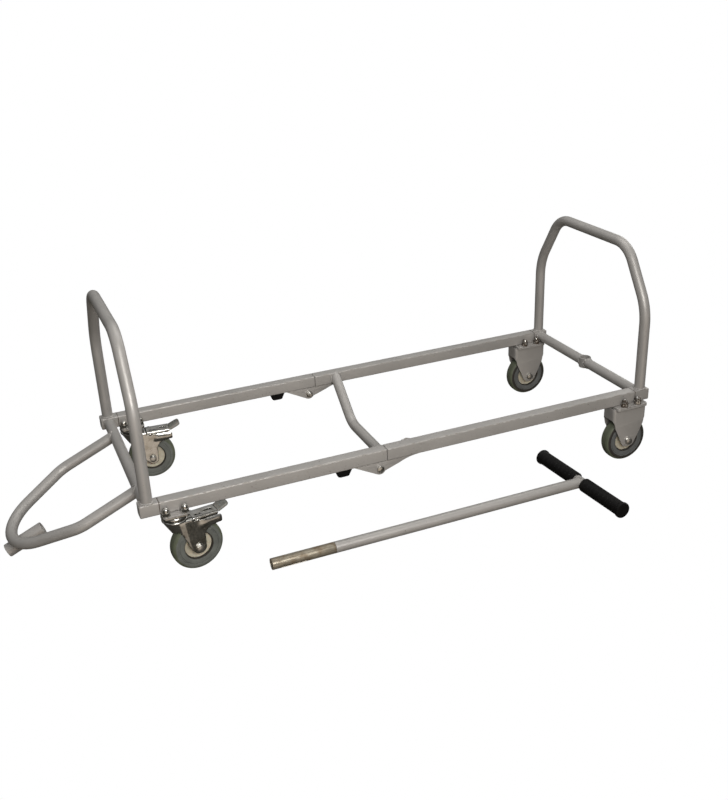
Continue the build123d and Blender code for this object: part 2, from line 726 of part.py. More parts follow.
def drawbar_loop():
    """Tube loop welded to the drawbar's crossbar, coped to its round side."""
    half = DRAWBAR_WIDTH / 2
    meeting = DRAWBAR_STRAIGHT + half / tan(radians(DRAWBAR_TAPER))
    points = [
        (0, -half, 0),
        (-DRAWBAR_STRAIGHT, -half, 0),
        (-meeting, 0, 0),
        (-DRAWBAR_STRAIGHT, half, 0),
        (0, half, 0),
    ]
    loop = bent_tube(points, [DRAWBAR_BEND, DRAWBAR_NOSE_R, DRAWBAR_BEND])
    return loop - rod((0, -RAIL_Y, 0), (0, 1, 0), 2 * RAIL_Y, TUBE + 2 * SEAT)


def drawbar_socket():
    """Short tube under the drawbar's nose that takes the handle's shank."""
    start = (-(nose_reach() + SOCKET_OVERHANG), 0, -SOCKET_DROP)
    return straight_tube(start, (1, 0, 0), SOCKET_LENGTH, SOCKET_OUTER, SOCKET_BORE)


# Handle

def handle_pose():
    """Places handle pieces drawn along X: the shank's end and the grip flanges lie on the floor."""
    rise = degrees(asin((GRIP_FLANGE_D / 2 - TUBE / 2) / HANDLE_LENGTH))
    return Pos(HANDLE_X, HANDLE_Y, TUBE / 2 * cos(radians(rise))) * Rot(0, -rise, HANDLE_TURN)


def handle_shank():
    """Bare end of the handle, with a long turned slot right through and a spigot inside the stem."""
    shank = straight_tube((0, 0, 0), (1, 0, 0), SHANK_LENGTH - SEAM)
    slot = SlotOverall(SLOT_END - SLOT_START, SLOT_WIDTH)
    middle = (SLOT_START + SLOT_END) / 2
    shank -= Rot(SLOT_TURN, 0, 0) * extrude(Plane(origin=(middle, 0, 0)) * slot, amount=TUBE, both=True)
    inner = TUBE - 2 * TUBE_WALL - 2 * SEAT
    spigot = straight_tube((SHANK_LENGTH - SHANK_SPIGOT, 0, 0), (1, 0, 0), 2 * SHANK_SPIGOT, inner,
                           inner - 2 * TUBE_WALL)
    collar = straight_tube((SHANK_LENGTH - SHANK_SPIGOT, 0, 0), (1, 0, 0), SHANK_SPIGOT / 4,
                           TUBE - TUBE_WALL, inner - TUBE_WALL)
    return shank + spigot + collar


def handle_stem():
    """Painted stem from the shank to the crossbar, coped to the crossbar's round side."""
    stem = straight_tube((SHANK_LENGTH, 0, 0), (1, 0, 0), HANDLE_LENGTH - SHANK_LENGTH)
    return stem - crossbar_pose() * rod((0, -TUBE, 0), (0, 1, 0), 2 * TUBE, TUBE + 2 * SEAT)


def crossbar_pose():
    """Place of the handle's crossbar on its stem."""
    return Pos(HANDLE_LENGTH, 0, 0) * Rot(0, 0, CROSSBAR_SKEW)


def handle_crossbar():
    """Tube inside the two grips."""
    tube = straight_tube((0, -CROSSBAR_LENGTH / 2, 0), (0, 1, 0), CROSSBAR_LENGTH)
    return crossbar_pose() * tube


def handle_grip(side):
    """Closed rubber grip with a flange at its outer end and shallow grooves along it."""
    bore = TUBE / 2 + SEAT
    grip = rod((0, GRIP_START, 0), (0, 1, 0), GRIP_LENGTH, GRIP_D)
    flange = rod((0, GRIP_START + GRIP_LENGTH - GRIP_FLANGE, 0), (0, 1, 0), GRIP_FLANGE, GRIP_FLANGE_D)
    grip += fillet(flange.edges().group_by(Axis.Y)[-1], GRIP_FLANGE_R)
    grip -= rod((0, 0, 0), (0, 1, 0), CROSSBAR_LENGTH / 2 + SEAT, 2 * bore)
    count = int((GRIP_LENGTH - GRIP_FLANGE - 2 * GRIP_PLAIN_END) / GRIP_RIB_GAP)
    for index in range(count + 1):
        at = GRIP_START + GRIP_PLAIN_END + index * GRIP_RIB_GAP
        floor = GRIP_D - 2 * GRIP_RIB_DEPTH
        grip -= straight_tube((0, at, 0), (0, 1, 0), GRIP_RIB_WIDTH, GRIP_FLANGE_D, floor)
    if side < 0:
        grip = mirror(grip, about=Plane.XZ)
    return crossbar_pose() * grip


def build():
    """All nodes by name, in a frame whose origin is the front end of the rails on the floor."""
    nodes = {}
    front_start = CORNER_LENGTH + SEAM
    front_end = SPLIT_X - SPLIT_GAP / 2
    rear_start = SPLIT_X + SPLIT_GAP / 2
    rear_end = FRAME_LENGTH - CORNER_LENGTH - SEAM
    for side, name in ((-1, "left"), (1, "right")):
        nodes["front_rail_" + name] = rail(front_start, front_end, side * RAIL_Y)
        nodes["rear_rail_" + name] = rail(rear_start, rear_end, side * RAIL_Y)
    nodes["front_corners"] = group(both_sides(front_corner()))
    nodes["rear_corners"] = group(both_sides(corner(FRAME_LENGTH, 1, -RAIL_Y)))
    nodes["front_loop"] = end_loop(CROSSBAR_INSET)
    nodes["rear_loop"] = end_loop(REAR_CROSSBAR_X)
    nodes["drawbar_spindle"] = drawbar_spindle()
    nodes["rear_crossbar"] = rear_crossbar()
    nodes["handle_sleeve"] = handle_sleeve()
    nodes["mid_brace"] = mid_brace()

    nodes["front_hinge_plates"] = hinge_plates(front_plate_face, PLATE_OUTER_Y)
    nodes["rear_hinge_plates"] = hinge_plates(rear_plate_face, PLATE_INNER_Y)
    nodes["hinge_bolts"] = group(both_sides(hinge_bolt()))
    nodes["hinge_nuts"] = group(both_sides(hinge_nut()))
    nodes["hinge_spacers"] = group(both_sides(hinge_spacer()))
    nodes["buffers"] = group(both_sides(buffer()))

    mount = (RAIL_UNDER, MOUNT_PLATE, BOLT_HOLE)
    front_plate = stud_plate(KING_X, FRONT_PLATE_LENGTH, FRONT_BOLT_PITCH, *mount)
    rear_plate = stud_plate(REAR_AXLE_X, BRACKET_LENGTH, REAR_BOLT_PITCH, *mount)
    nodes["front_mount_plates"] = group(both_sides(front_plate))
    nodes["rear_mount_plates"] = group(both_sides(rear_plate))
    patterns = {"front": (KING_X, FRONT_BOLT_PITCH), "rear": (REAR_AXLE_X, REAR_BOLT_PITCH)}
    for name, pattern in patterns.items():
        places = bolt_places(*pattern)
        nodes[name + "_caster_bolts"] = caster_bolts(places)
        nodes[name + "_caster_washers"] = caster_washers(places)
        nodes[name + "_caster_nuts"] = caster_nuts(places)
    nodes["swivel_plates"] = group(both_sides(swivel_plate()))
    nodes["kingpins"] = group(both_sides(kingpin()))
    left_balls = swivel_balls()
    nodes["swivel_balls"] = group(left_balls + [mirror(ball, about=Plane.XZ) for ball in left_balls])
    bracket = rigid_bracket()
    nodes["rigid_bracket_left"] = bracket
    nodes["rigid_bracket_right"] = mirror(bracket, about=Plane.XZ)
    nodes["rear_axle_bolts"] = group([rear_axle_place(side) * axle_bolt() for side in (-1, 1)])
    nodes["rear_axle_nuts"] = group([rear_axle_place(side) * axle_nut() for side in (-1, 1)])

    for side, name in ((-1, "left"), (1, "right")):
        place = swivel_place(side)
        at_axle = place * Pos(TRAIL, 0, AXLE_Z)
        nodes["fork_" + name] = place * fork()
        nodes["axle_bolt_" + name] = at_axle * axle_bolt()
        nodes["axle_nut_" + name] = at_axle * axle_nut()
        nodes["brake_lever_" + name] = place * brake_lever()
        nodes["brake_pedal_" + name] = place * brake_pedal()
        nodes["front_tyre_" + name] = at_axle * tyre()
        nodes["front_hub_" + name] = at_axle * hub()
        nodes["rear_tyre_" + name] = rear_axle_place(side) * tyre()
        nodes["rear_hub_" + name] = rear_axle_place(side) * hub()

    nodes["drawbar_crossbar"] = drawbar_pose() * drawbar_crossbar()
    nodes["drawbar_loop"] = drawbar_pose() * drawbar_loop()
    nodes["drawbar_socket"] = drawbar_pose() * drawbar_socket()

    nodes["handle_shank"] = handle_pose() * handle_shank()
    nodes["handle_stem"] = handle_pose() * handle_stem()
    nodes["handle_crossbar"] = handle_pose() * handle_crossbar()
    nodes["handle_grip_left"] = handle_pose() * handle_grip(-1)
    nodes["handle_grip_right"] = handle_pose() * handle_grip(1)
    return nodes


def origin_of(nodes):
    """Middle of the whole part's bounding box, on the floor."""
    boxes = [node.bounding_box() for node in nodes.values()]
    low_x = min(box.min.X for box in boxes)
    high_x = max(box.max.X for box in boxes)
    low_y = min(box.min.Y for box in boxes)
    high_y = max(box.max.Y for box in boxes)
    low_z = min(box.min.Z for box in boxes)
    return (low_x + high_x) / 2, (low_y + high_y) / 2, low_z


os.makedirs("parts", exist_ok=True)
NODES = build()
ORIGIN = origin_of(NODES)
for node_name, solid in NODES.items():
    moved = Pos(*[-value for value in ORIGIN]) * solid
    export_step(moved, os.path.join("parts", node_name + ".step"))
print("nodes", len(NODES), "origin", [round(value, 3) for value in ORIGIN])
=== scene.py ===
"""Looks of a folding tyre trolley: painted tube frame, plated casters, rubber tyres and a loose T-handle."""
import json
import math
from functools import partial

import bmesh
import bpy
from bpy.props import FloatProperty, FloatVectorProperty, PointerProperty
from mathutils import Matrix, Vector
from mathutils.geometry import convex_hull_2d
from mathutils.noise import noise


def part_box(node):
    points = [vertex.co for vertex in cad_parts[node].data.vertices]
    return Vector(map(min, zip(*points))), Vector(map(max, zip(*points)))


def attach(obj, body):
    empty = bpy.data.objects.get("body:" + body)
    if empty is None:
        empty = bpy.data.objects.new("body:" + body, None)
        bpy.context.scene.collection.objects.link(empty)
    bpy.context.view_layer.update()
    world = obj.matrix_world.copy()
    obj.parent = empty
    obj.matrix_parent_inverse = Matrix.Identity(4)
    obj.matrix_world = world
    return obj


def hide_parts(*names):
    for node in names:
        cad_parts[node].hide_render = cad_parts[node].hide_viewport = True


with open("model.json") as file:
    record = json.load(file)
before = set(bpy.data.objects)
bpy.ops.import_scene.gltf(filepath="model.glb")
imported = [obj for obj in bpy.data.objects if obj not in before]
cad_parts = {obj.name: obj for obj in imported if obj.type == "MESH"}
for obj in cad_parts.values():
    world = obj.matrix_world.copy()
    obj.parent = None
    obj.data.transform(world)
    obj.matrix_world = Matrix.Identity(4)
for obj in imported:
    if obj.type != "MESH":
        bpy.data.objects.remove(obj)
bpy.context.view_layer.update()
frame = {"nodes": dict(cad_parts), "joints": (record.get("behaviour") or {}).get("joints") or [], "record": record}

bl_info = {
    "name": "Folding Trolley",
    "version": (1, 0, 0),
    "blender": (4, 5, 0),
    "location": "View3D > Sidebar > Trolley",
    "description": "Builds the visible pieces of a folding tyre trolley around its packed frame",
    "category": "Object",
}

MM = 0.001
SIDES = (("left", -1), ("right", 1))
ENDS = ("front", "rear")
ROUND = 48
FINE = 96
UP = Vector((0, 0, 1))
ALONG = Vector((1, 0, 0))
ACROSS = Vector((0, 1, 0))

# Bought-in fasteners, in millimetres
BOLT = 8.0
BOLT_HEAD = 5.3
BOLT_FLATS = 13.0
WASHER_RADIUS = 7.5
WASHER = 1.6
AXLE_WASHER = 1.0
THREAD_PITCH = 1.25
THREAD_END = 10.0
STUD_PLAY = 0.3
AXLE_PLAY = 0.2
HINGE_PLAY = 0.1

# Weld beads, in millimetres: how far they stand over a flat face or lie inside a tube's end
BEAD_RISE = 0.5
BEAD_SINK = 0.6

# Sheet parts of the casters, in millimetres from the floor or from the caster's middle
PLATE_CORNER = 6.0
PLATE_TRIM = {"front": 0.0, "rear": 4.0}
CASTER_PLATE = 3.5
SHEET = 3.0
SHEET_EDGE = 0.5
FORK_HALF = 18.0
FORK_BEND = 5.5
FORK_TOP = 113.9
FORK_WRAP = 30.0
TRAIL = 35.0
AXLE_HEIGHT = 50.0
LEVER_PIVOT = (36.0, 107.0)
LEVER_FLAT = 12.0
LEVER_BEND = 2.5
LEVER_TOP = 111.0
BRACKET_HALF = (40.0, 18.0)
BRACKET_BEND = 5.0
BRACKET_HIP = 102.5


# Places read from the frame

def span(node):
    """Lowest corner, highest corner and middle of a node."""
    low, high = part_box(node)
    return low, high, (low + high) / 2


def joint_place(name):
    """Point and direction of a joint's axis."""
    found = next(joint for joint in frame["joints"] if joint["name"] == name)
    return Vector(found["pos_m"]), Vector(found["axis"])


def mount_named(name):
    """A mount of the record."""
    return next(mount for mount in frame["record"]["mounts"] if mount["name"] == name)


def basis(origin, along, up):
    """Place whose X axis runs along one direction and whose Z axis leans towards another."""
    x_axis = Vector(along).normalized()
    y_axis = Vector(up).cross(x_axis).normalized()
    z_axis = x_axis.cross(y_axis)
    turn = Matrix((x_axis, y_axis, z_axis)).transposed()
    return Matrix.Translation(origin) @ turn.to_4x4()


TUBE_RADIUS = (span("front_loop")[1].x - span("front_loop")[0].x) / 2
RAIL_LOW, RAIL_HIGH, RAIL_MIDDLE = span("rear_rail_left")
RAIL_SIZE = RAIL_HIGH.z - RAIL_LOW.z
MIDDLE_Y = joint_place("frame_fold")[0].y
RAIL_REACH = MIDDLE_Y - RAIL_MIDDLE.y
FRONT_END = Vector((span("front_corners")[0].x, MIDDLE_Y, RAIL_HIGH.z))


def on_rail(x, z, side):
    """Point in the middle plane of one rail."""
    return Vector((x, MIDDLE_Y + side * RAIL_REACH, z))


def swivel_place(name):
    """Place of a swivel caster: its kingpin's foot on the floor, X along the trail."""
    king, _ = joint_place("swivel_" + name)
    _, across = joint_place("front_spin_" + name)
    return basis(Vector((king.x, king.y, 0)), across.cross(UP), UP)


def rigid_place(name):
    """Place of a rigid caster: the floor under its axle."""
    axle, _ = joint_place("rear_spin_" + name)
    return basis(Vector((axle.x, axle.y, 0)), ALONG, UP)


# Mesh building

def turns(count):
    """Angles of equal steps round a full turn."""
    return [2 * math.pi * step / count for step in range(count)]


def skin(rings, looped=False):
    """Points and faces of a closed skin over successive rings of points."""
    count = len(rings[0])
    points = [point for ring in rings for point in ring]
    faces = []
    rows = len(rings) if looped else len(rings) - 1
    for row in range(rows):
        here = row * count
        there = (row + 1) % len(rings) * count
        for column in range(count):
            right = (column + 1) % count
            faces.append((here + column, here + right, there + right, there + column))
    if not looped:
        faces.append(tuple(range(count)))
        faces.append(tuple(range((len(rings) - 1) * count, len(rings) * count)))
    return points, faces


def moved(skins, place):
    """Skins carried to a place."""
    return [([place @ Vector(point) for point in points], faces) for points, faces in skins]


def add_piece(name, skins, look, body, replaced=(), crease=40):
    """Makes one piece from skins, gives it a finish and lets it ride on its body."""
    material, usual_slot = finish(look)
    points = []
    faces = []
    for skin_points, skin_faces in skins:
        start = len(points)
        points += [Vector(point) for point in skin_points]
        faces += [tuple(start + index for index in face) for face in skin_faces]
    mesh = bpy.data.meshes.new(name)
    mesh.from_pydata(points, [], faces)
    work = bmesh.new()
    work.from_mesh(mesh)
    bmesh.ops.recalc_face_normals(work, faces=work.faces)
    work.to_mesh(mesh)
    work.free()
    mesh.polygons.foreach_set("use_smooth", [True] * len(mesh.polygons))
    mesh.set_sharp_from_angle(angle=math.radians(crease))
    mesh.materials.append(material)
    piece = bpy.data.objects.new(name, mesh)
    bpy.context.scene.collection.objects.link(piece)
    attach(piece, body)
    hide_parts(*replaced)


def stand_in(making, node, skins, look, body, crease=40):
    """Makes the piece that stands for one node, named for its making and for the node."""
    add_piece(f"{making}_{node}", skins, look, body, [node], crease)


def rings_along(points, outward, radii, sides, looped=False):
    """Rings of points square to a path. Outward gives the ring's first direction at each point."""
    rings = []
    last = len(points) - 1
    for index, point in enumerate(points):
        before = points[index - 1] if index or looped else point
        after = points[(index + 1) % len(points)] if index < last or looped else point
        tangent = (after - before).normalized()
        side = tangent.cross(outward[index]).normalized()
        front = side.cross(tangent)
        ring = []
        for angle in turns(sides):
            ring.append(point + (front * math.cos(angle) + side * math.sin(angle)) * radii[index])
        rings.append(ring)
    return rings


def bent_path(corners, radii, steps=12):
    """Points along straight runs joined by arcs."""
    points = [corners[0]]
    for before, corner, after, radius in zip(corners, corners[1:], corners[2:], radii):
        into = (corner - before).normalized()
        out = (after - corner).normalized()
        turn = into.angle(out)
        inward = (out - into * math.cos(turn)).normalized()
        start = corner - into * radius * math.tan(turn / 2)
        for step in range(steps + 1):
            angle = turn * step / steps
            points.append(start + into * radius * math.sin(angle) + inward * radius * (1 - math.cos(angle)))
    points.append(corners[-1])
    return points


def bar(points, normal, radius):
    """Round bar along a flat path."""
    count = len(points)
    return skin(rings_along(points, [normal] * count, [radius] * count, ROUND))


def open_tube(start, end, radius, wall, edge=0.4 * MM):
    """Straight tube, open at both ends, with broken outer edges."""
    along = (end - start).normalized()
    normal = along.orthogonal().normalized()
    stations = [start, start + along * edge, end - along * edge, end]
    outer = rings_along(stations, [normal] * 4, [radius - edge, radius, radius, radius - edge], ROUND)
    inner = rings_along([start, end], [normal] * 2, [radius - wall] * 2, ROUND)
    return skin(outer + inner[::-1], looped=True)


def turned(profile, origin, axis, sides=FINE, looped=True):
    """Skin turned about an axis from (radius, height) points in millimetres."""
    axis = Vector(axis).normalized()
    first = axis.orthogonal().normalized()
    second = axis.cross(first)
    rings = []
    for radius, height in profile:
        ring = []
        for angle in turns(sides):
            spoke = first * math.cos(angle) + second * math.sin(angle)
            ring.append(origin + axis * height * MM + spoke * radius * MM)
        rings.append(ring)
    return skin(rings, looped)


def both_faces(side):
    """Closed wheel profile from the points of one side, mirrored to the other."""
    return side + [(radius, -height) for radius, height in reversed(side)]


def arc(x, y, radius, start, end, steps=10):
    """Points of an arc between two angles in degrees."""
    angles = [math.radians(start + (end - start) * step / steps) for step in range(steps + 1)]
    return [(x + radius * math.cos(angle), y + radius * math.sin(angle)) for angle in angles]


def circle(x, y, radius, steps=32):
    """Points of a full circle."""
    return arc(x, y, radius, 0, 360, steps)[:-1]


def rounded(width, height, radius, steps=6):
    """Outline of a rounded rectangle about the origin, from the middle of its right side."""
    outline = []
    for quarter in range(4):
        sign_x = 1 if quarter in (0, 3) else -1
        sign_y = 1 if quarter in (0, 1) else -1
        centre = (sign_x * (width / 2 - radius), sign_y * (height / 2 - radius))
        outline += arc(*centre, radius, 90 * quarter, 90 * quarter + 90, steps)
    return outline


def hull(points):
    """Outline of the smallest convex shape round some points."""
    return [points[index] for index in convex_hull_2d(points)]


def outline_at(place, outline, scale=1.0):
    """Ring of points from a flat outline."""
    return [place @ Vector((x * scale, y * scale, 0)) for x, y in outline]


def over_surface(surface, u, v, height):
    """Point at a height over a curved surface."""
    step = 0.05
    along = Vector(surface(u + step, v)) - Vector(surface(u - step, v))
    across = Vector(surface(u, v + step)) - Vector(surface(u, v - step))
    return Vector(surface(u, v)) + along.cross(across).normalized() * height


def sheet_metal(loops, thickness, edge, cuts=(), surface=None):
    """Blank with rounded edges, in millimetres. Loops after the first are holes. A surface bends it."""
    curve = bpy.data.curves.new("blank", "CURVE")
    curve.dimensions = "2D"
    curve.fill_mode = "BOTH"
    curve.extrude = (thickness / 2 - edge) * MM
    curve.bevel_depth = edge * MM
    curve.bevel_resolution = 1
    curve.offset = -edge * MM
    for loop in loops:
        spline = curve.splines.new("POLY")
        spline.points.add(len(loop) - 1)
        for point, (x, y) in zip(spline.points, loop):
            point.co = (x * MM, y * MM, 0, 1)
        spline.use_cyclic_u = True
    holder = bpy.data.objects.new("blank", curve)
    mesh = bpy.data.meshes.new_from_object(holder)
    work = bmesh.new()
    work.from_mesh(mesh)
    bpy.data.objects.remove(holder)
    bpy.data.curves.remove(curve)
    bpy.data.meshes.remove(mesh)
    bmesh.ops.remove_doubles(work, verts=work.verts, dist=1e-6)
    for point, normal in cuts:
        everything = work.verts[:] + work.edges[:] + work.faces[:]
        bmesh.ops.bisect_plane(work, geom=everything, dist=1e-7, plane_co=Vector((*point, 0)) * MM,
                               plane_no=Vector((*normal, 0)))
    work.verts.index_update()
    points = [vertex.co.copy() for vertex in work.verts]
    if surface:
        points = [over_surface(surface, *(point / MM)) * MM for point in points]
    faces = [tuple(vertex.index for vertex in face.verts) for face in work.faces]
    work.free()
    return points, faces


def mirrored(skins):
    """Skins mirrored across their own middle plane."""
    return [([Vector((point.x, -point.y, point.z)) for point in points], faces) for points, faces in skins]


# Fasteners and welds

def hexagon(height):
    """Hexagon block in millimetres on the XY plane, its top corners turned off as on a bolt head."""
    crown = BOLT_FLATS / 2 * 0.94
    foot = []
    shoulder = []
    top = []
    for angle in turns(ROUND):
        wrapped = (angle + math.pi / 6) % (math.pi / 3) - math.pi / 6
        reach = BOLT_FLATS / 2 / math.cos(wrapped)
        spoke = Vector((math.cos(angle), math.sin(angle), 0))
        drop = (reach - crown) * math.tan(math.radians(30))
        foot.append(spoke * reach * MM)
        shoulder.append(spoke * reach * MM + UP * (height - drop) * MM)
        top.append(spoke * crown * MM + UP * height * MM)
    return skin([foot, shoulder, top])


def bolt_head():
    """Hexagon head with a faintly domed top."""
    dome = [(5.9, BOLT_HEAD - 0.3), (4.6, BOLT_HEAD + 0.25), (2.4, BOLT_HEAD + 0.5), (0.3, BOLT_HEAD + 0.6)]
    return [hexagon(BOLT_HEAD), turned(dome, Vector(), UP, sides=32, looped=False)]


def lock_nut():
    """Locking nut with its domed collar, and the bolt's threaded end inside it."""
    collar = [(6.2, 5.0), (6.15, 6.4), (5.7, 7.4), (4.9, 7.95), (4.2, 7.9), (4.1, 5.0)]
    depth = 0.45 * THREAD_PITCH
    ridges = []
    height = 4.0
    while height < THREAD_END - THREAD_PITCH:
        ridges += [(BOLT / 2 - depth, height), (BOLT / 2 - 0.05, height + THREAD_PITCH / 2)]
        height += THREAD_PITCH
    ridges += [(BOLT / 2 - depth, height), (BOLT / 2 - depth - 0.6, THREAD_END)]
    return [
        hexagon(5.6),
        turned(collar, Vector(), UP, sides=32),
        turned(ridges, Vector(), UP, sides=24, looped=False),
    ]


def dome_nut():
    """Domed cap nut: a hexagon with a polished round cap."""
    cap = [(6.3, 6.0), (6.2, 7.0), *arc(0.0, 9.4, 5.9, 0, 84, 9), (0.3, 15.3)]
    return [hexagon(6.5), turned(cap, Vector(), UP, sides=40, looped=False)]


def washer(thickness):
    """Plain washer on the XY plane."""
    edge = 0.25
    hole = BOLT / 2 + STUD_PLAY
    profile = [(hole, 0), (WASHER_RADIUS - edge, 0), (WASHER_RADIUS, edge), (WASHER_RADIUS, thickness - edge),
               (WASHER_RADIUS - edge, thickness), (hole, thickness)]
    return turned(profile, Vector(), UP, sides=40)


def bead(path, outward, size, looped=True):
    """Weld bead along a path: a round run that swells with the welder's pulse and wanders a little."""
    spacing = 0.55 * MM
    pitch = 2.2 * MM
    swell = 0.13
    wander = 0.22
    wander_per_metre = 260
    end_size = 0.6
    points = []
    sides = []
    count = len(path)
    runs = count if looped else count - 1
    for index in range(runs):
        start = path[index]
        end = path[(index + 1) % count]
        steps = max(1, round((end - start).length / spacing))
        for step in range(steps):
            points.append(start.lerp(end, step / steps))
            sides.append(outward[index].lerp(outward[(index + 1) % count], step / steps))
    travelled = 0.0
    radii = []
    for index, point in enumerate(points):
        travelled += (point - points[index - 1]).length if index else 0.0
        pulse = swell * math.sin(2 * math.pi * travelled / pitch)
        radii.append(size * (1 + pulse + wander * noise(point * wander_per_metre)))
    if not looped:
        radii[0] *= end_size
        radii[-1] *= end_size
    return skin(rings_along(points, sides, radii, 10, looped), looped)


def ring_bead(centre, axis, radius, size, stretch=1.0):
    """Weld bead all round a tube that stands on a flat face. A slanting tube stretches the ring upwards."""
    first = axis.cross(UP) if abs(axis.z) < 0.5 else ALONG
    second = axis.cross(first) * stretch
    face = (RAIL_SIZE / 2 - size) / (radius * stretch)
    limit = min(1.0, face) if abs(axis.z) < 0.5 else 1.0
    steps = 40
    path = []
    for angle in turns(steps):
        rise = min(max(math.sin(angle), -limit), limit)
        path.append(centre + (first * math.cos(angle) + second * rise) * radius)
    return bead(path, [axis] * steps, size)


def saddle_bead(centre, along, across, radius, other, size):
    """Weld bead where a tube meets the round side of another, whose axis runs across."""
    normal = along.cross(across).normalized()
    lift = 0.4 * MM
    path = []
    outward = []
    for angle in turns(ROUND):
        reach = math.sqrt(max(0.0, other ** 2 - (radius * math.sin(angle)) ** 2))
        spoke = across * math.cos(angle) + normal * math.sin(angle)
        path.append(centre + spoke * radius + along * (reach + lift))
        outward.append(spoke + along)
    return bead(path, outward, size)


# Materials

# A mix node's sockets for colours, by number
MIX_FIRST = 6
MIX_SECOND = 7
MIX_RESULT = 2


def linear(code):
    """Linear colour of an sRGB hex value."""
    channels = [int(code[index:index + 2], 16) / 255 for index in (1, 3, 5)]
    values = [c / 12.92 if c <= 0.04045 else ((c + 0.055) / 1.055) ** 2.4 for c in channels]
    return (*values, 1.0)


def tint(colour, factor):
    """Lighter or darker shade of a linear colour."""
    return (*[min(1.0, channel * factor) for channel in colour[:3]], 1.0)


def add_node(tree, kind, inputs, stops=(), **settings):
    """Adds a shader node with its settings and links. Inputs are values or outputs. Returns its outputs."""
    node = tree.nodes.new("ShaderNode" + kind)
    for name, value in settings.items():
        setattr(node, name, value)
    for socket, value in inputs.items():
        if isinstance(value, bpy.types.NodeSocket):
            tree.links.new(value, node.inputs[socket])
        else:
            node.inputs[socket].default_value = value
    for index, (position, colour) in enumerate(stops):
        if index > 1:
            node.color_ramp.elements.new(position)
        node.color_ramp.elements[index].position = position
        node.color_ramp.elements[index].color = colour
    return node.outputs


def new_material(name):
    """Empty node material, and the piece's own coordinates."""
    material = bpy.data.materials.new(name)
    material.use_nodes = True
    tree = material.node_tree
    tree.nodes.clear()
    return material, tree, add_node(tree, "TexCoord", {})["Object"]


def per_mm(size):
    """Pattern scale whose patches have a size in millimetres."""
    return 1 / (size * MM)


def rail_edge_share(tree, place):
    """How near a point of a box rail is to one of its long edges: 0 on the flats and 1 on the edge itself."""
    axes = add_node(tree, "SeparateXYZ", {"Vector": place})
    half = RAIL_SIZE / 2
    centred = add_node(tree, "Math", {0: axes["Y"], 1: MIDDLE_Y}, operation="SUBTRACT")["Value"]
    reach = add_node(tree, "Math", {0: centred}, operation="ABSOLUTE")["Value"]
    near = []
    for value, middle in ((reach, RAIL_REACH), (axes["Z"], RAIL_MIDDLE.z)):
        offset = add_node(tree, "Math", {0: value, 1: middle}, operation="SUBTRACT")["Value"]
        near.append(add_node(tree, "Math", {0: offset}, operation="ABSOLUTE")["Value"])
    least = add_node(tree, "Math", {0: near[0], 1: near[1]}, operation="MINIMUM")["Value"]
    return add_node(tree, "MapRange", {
        "Value": least, "From Min": 0.80 * half, "From Max": 0.94 * half})["Result"]


def silver_paint(name, colour, grain, wear, railed=False):
    """Stoved silver paint on steel: satin, faintly mottled, dusty and chipped, rubbed at the rails' edges."""
    material, tree, place = new_material(name)
    broad = add_node(tree, "TexNoise", {"Vector": place, "Scale": per_mm(90), "Detail": 3.0})["Fac"]
    cloud = add_node(tree, "ValToRGB", {"Fac": broad}, [
        (0.30, tint(colour, 0.93)), (0.50, tint(colour, 1.0)), (0.72, tint(colour, 1.06))])["Color"]
    patchy = add_node(tree, "TexNoise", {
        "Vector": place, "Scale": per_mm(11), "Detail": 5.0, "Roughness": 0.65})["Fac"]
    dust = add_node(tree, "MapRange", {
        "Value": patchy, "From Min": 0.56, "From Max": 0.76, "To Max": 0.35})["Result"]
    dusty = add_node(tree, "Mix", {
        0: dust, MIX_FIRST: cloud, MIX_SECOND: tint(colour, 1.22)}, data_type="RGBA")[MIX_RESULT]
    flecks = add_node(tree, "TexNoise", {
        "Vector": place, "Scale": per_mm(3.2), "Detail": 2.0, "Roughness": 0.4})["Fac"]
    chips = add_node(tree, "MapRange", {
        "Value": flecks, "From Min": 0.75 - wear, "From Max": 0.77 - wear})["Result"]
    chipped = add_node(tree, "Mix", {
        0: chips, MIX_FIRST: dusty, MIX_SECOND: linear("#54463A")}, data_type="RGBA")[MIX_RESULT]
    if railed:
        rubbed = add_node(tree, "MapRange", {
            "Value": patchy, "From Min": 0.44, "From Max": 0.58, "To Max": 0.75})["Result"]
        edge = add_node(tree, "Math", {
            0: rubbed, 1: rail_edge_share(tree, place)}, operation="MULTIPLY")["Value"]
        chipped = add_node(tree, "Mix", {
            0: edge, MIX_FIRST: chipped, MIX_SECOND: linear("#7D766D")}, data_type="RGBA")[MIX_RESULT]
    rough = add_node(tree, "MapRange", {
        "Value": patchy, "From Min": 0.3, "From Max": 0.7, "To Min": 0.36, "To Max": 0.48})["Result"]
    peel = add_node(tree, "TexNoise", {"Vector": place, "Scale": per_mm(3), "Detail": 2.0})["Fac"]
    bump = add_node(tree, "Bump", {"Height": peel, "Distance": 0.006 * grain * MM, "Strength": 0.4})["Normal"]
    shader = add_node(tree, "BsdfPrincipled", {
        "Base Color": chipped, "Roughness": rough, "Metallic": 0.3, "Normal": bump})["BSDF"]
    add_node(tree, "OutputMaterial", {"Surface": shader})
    return material


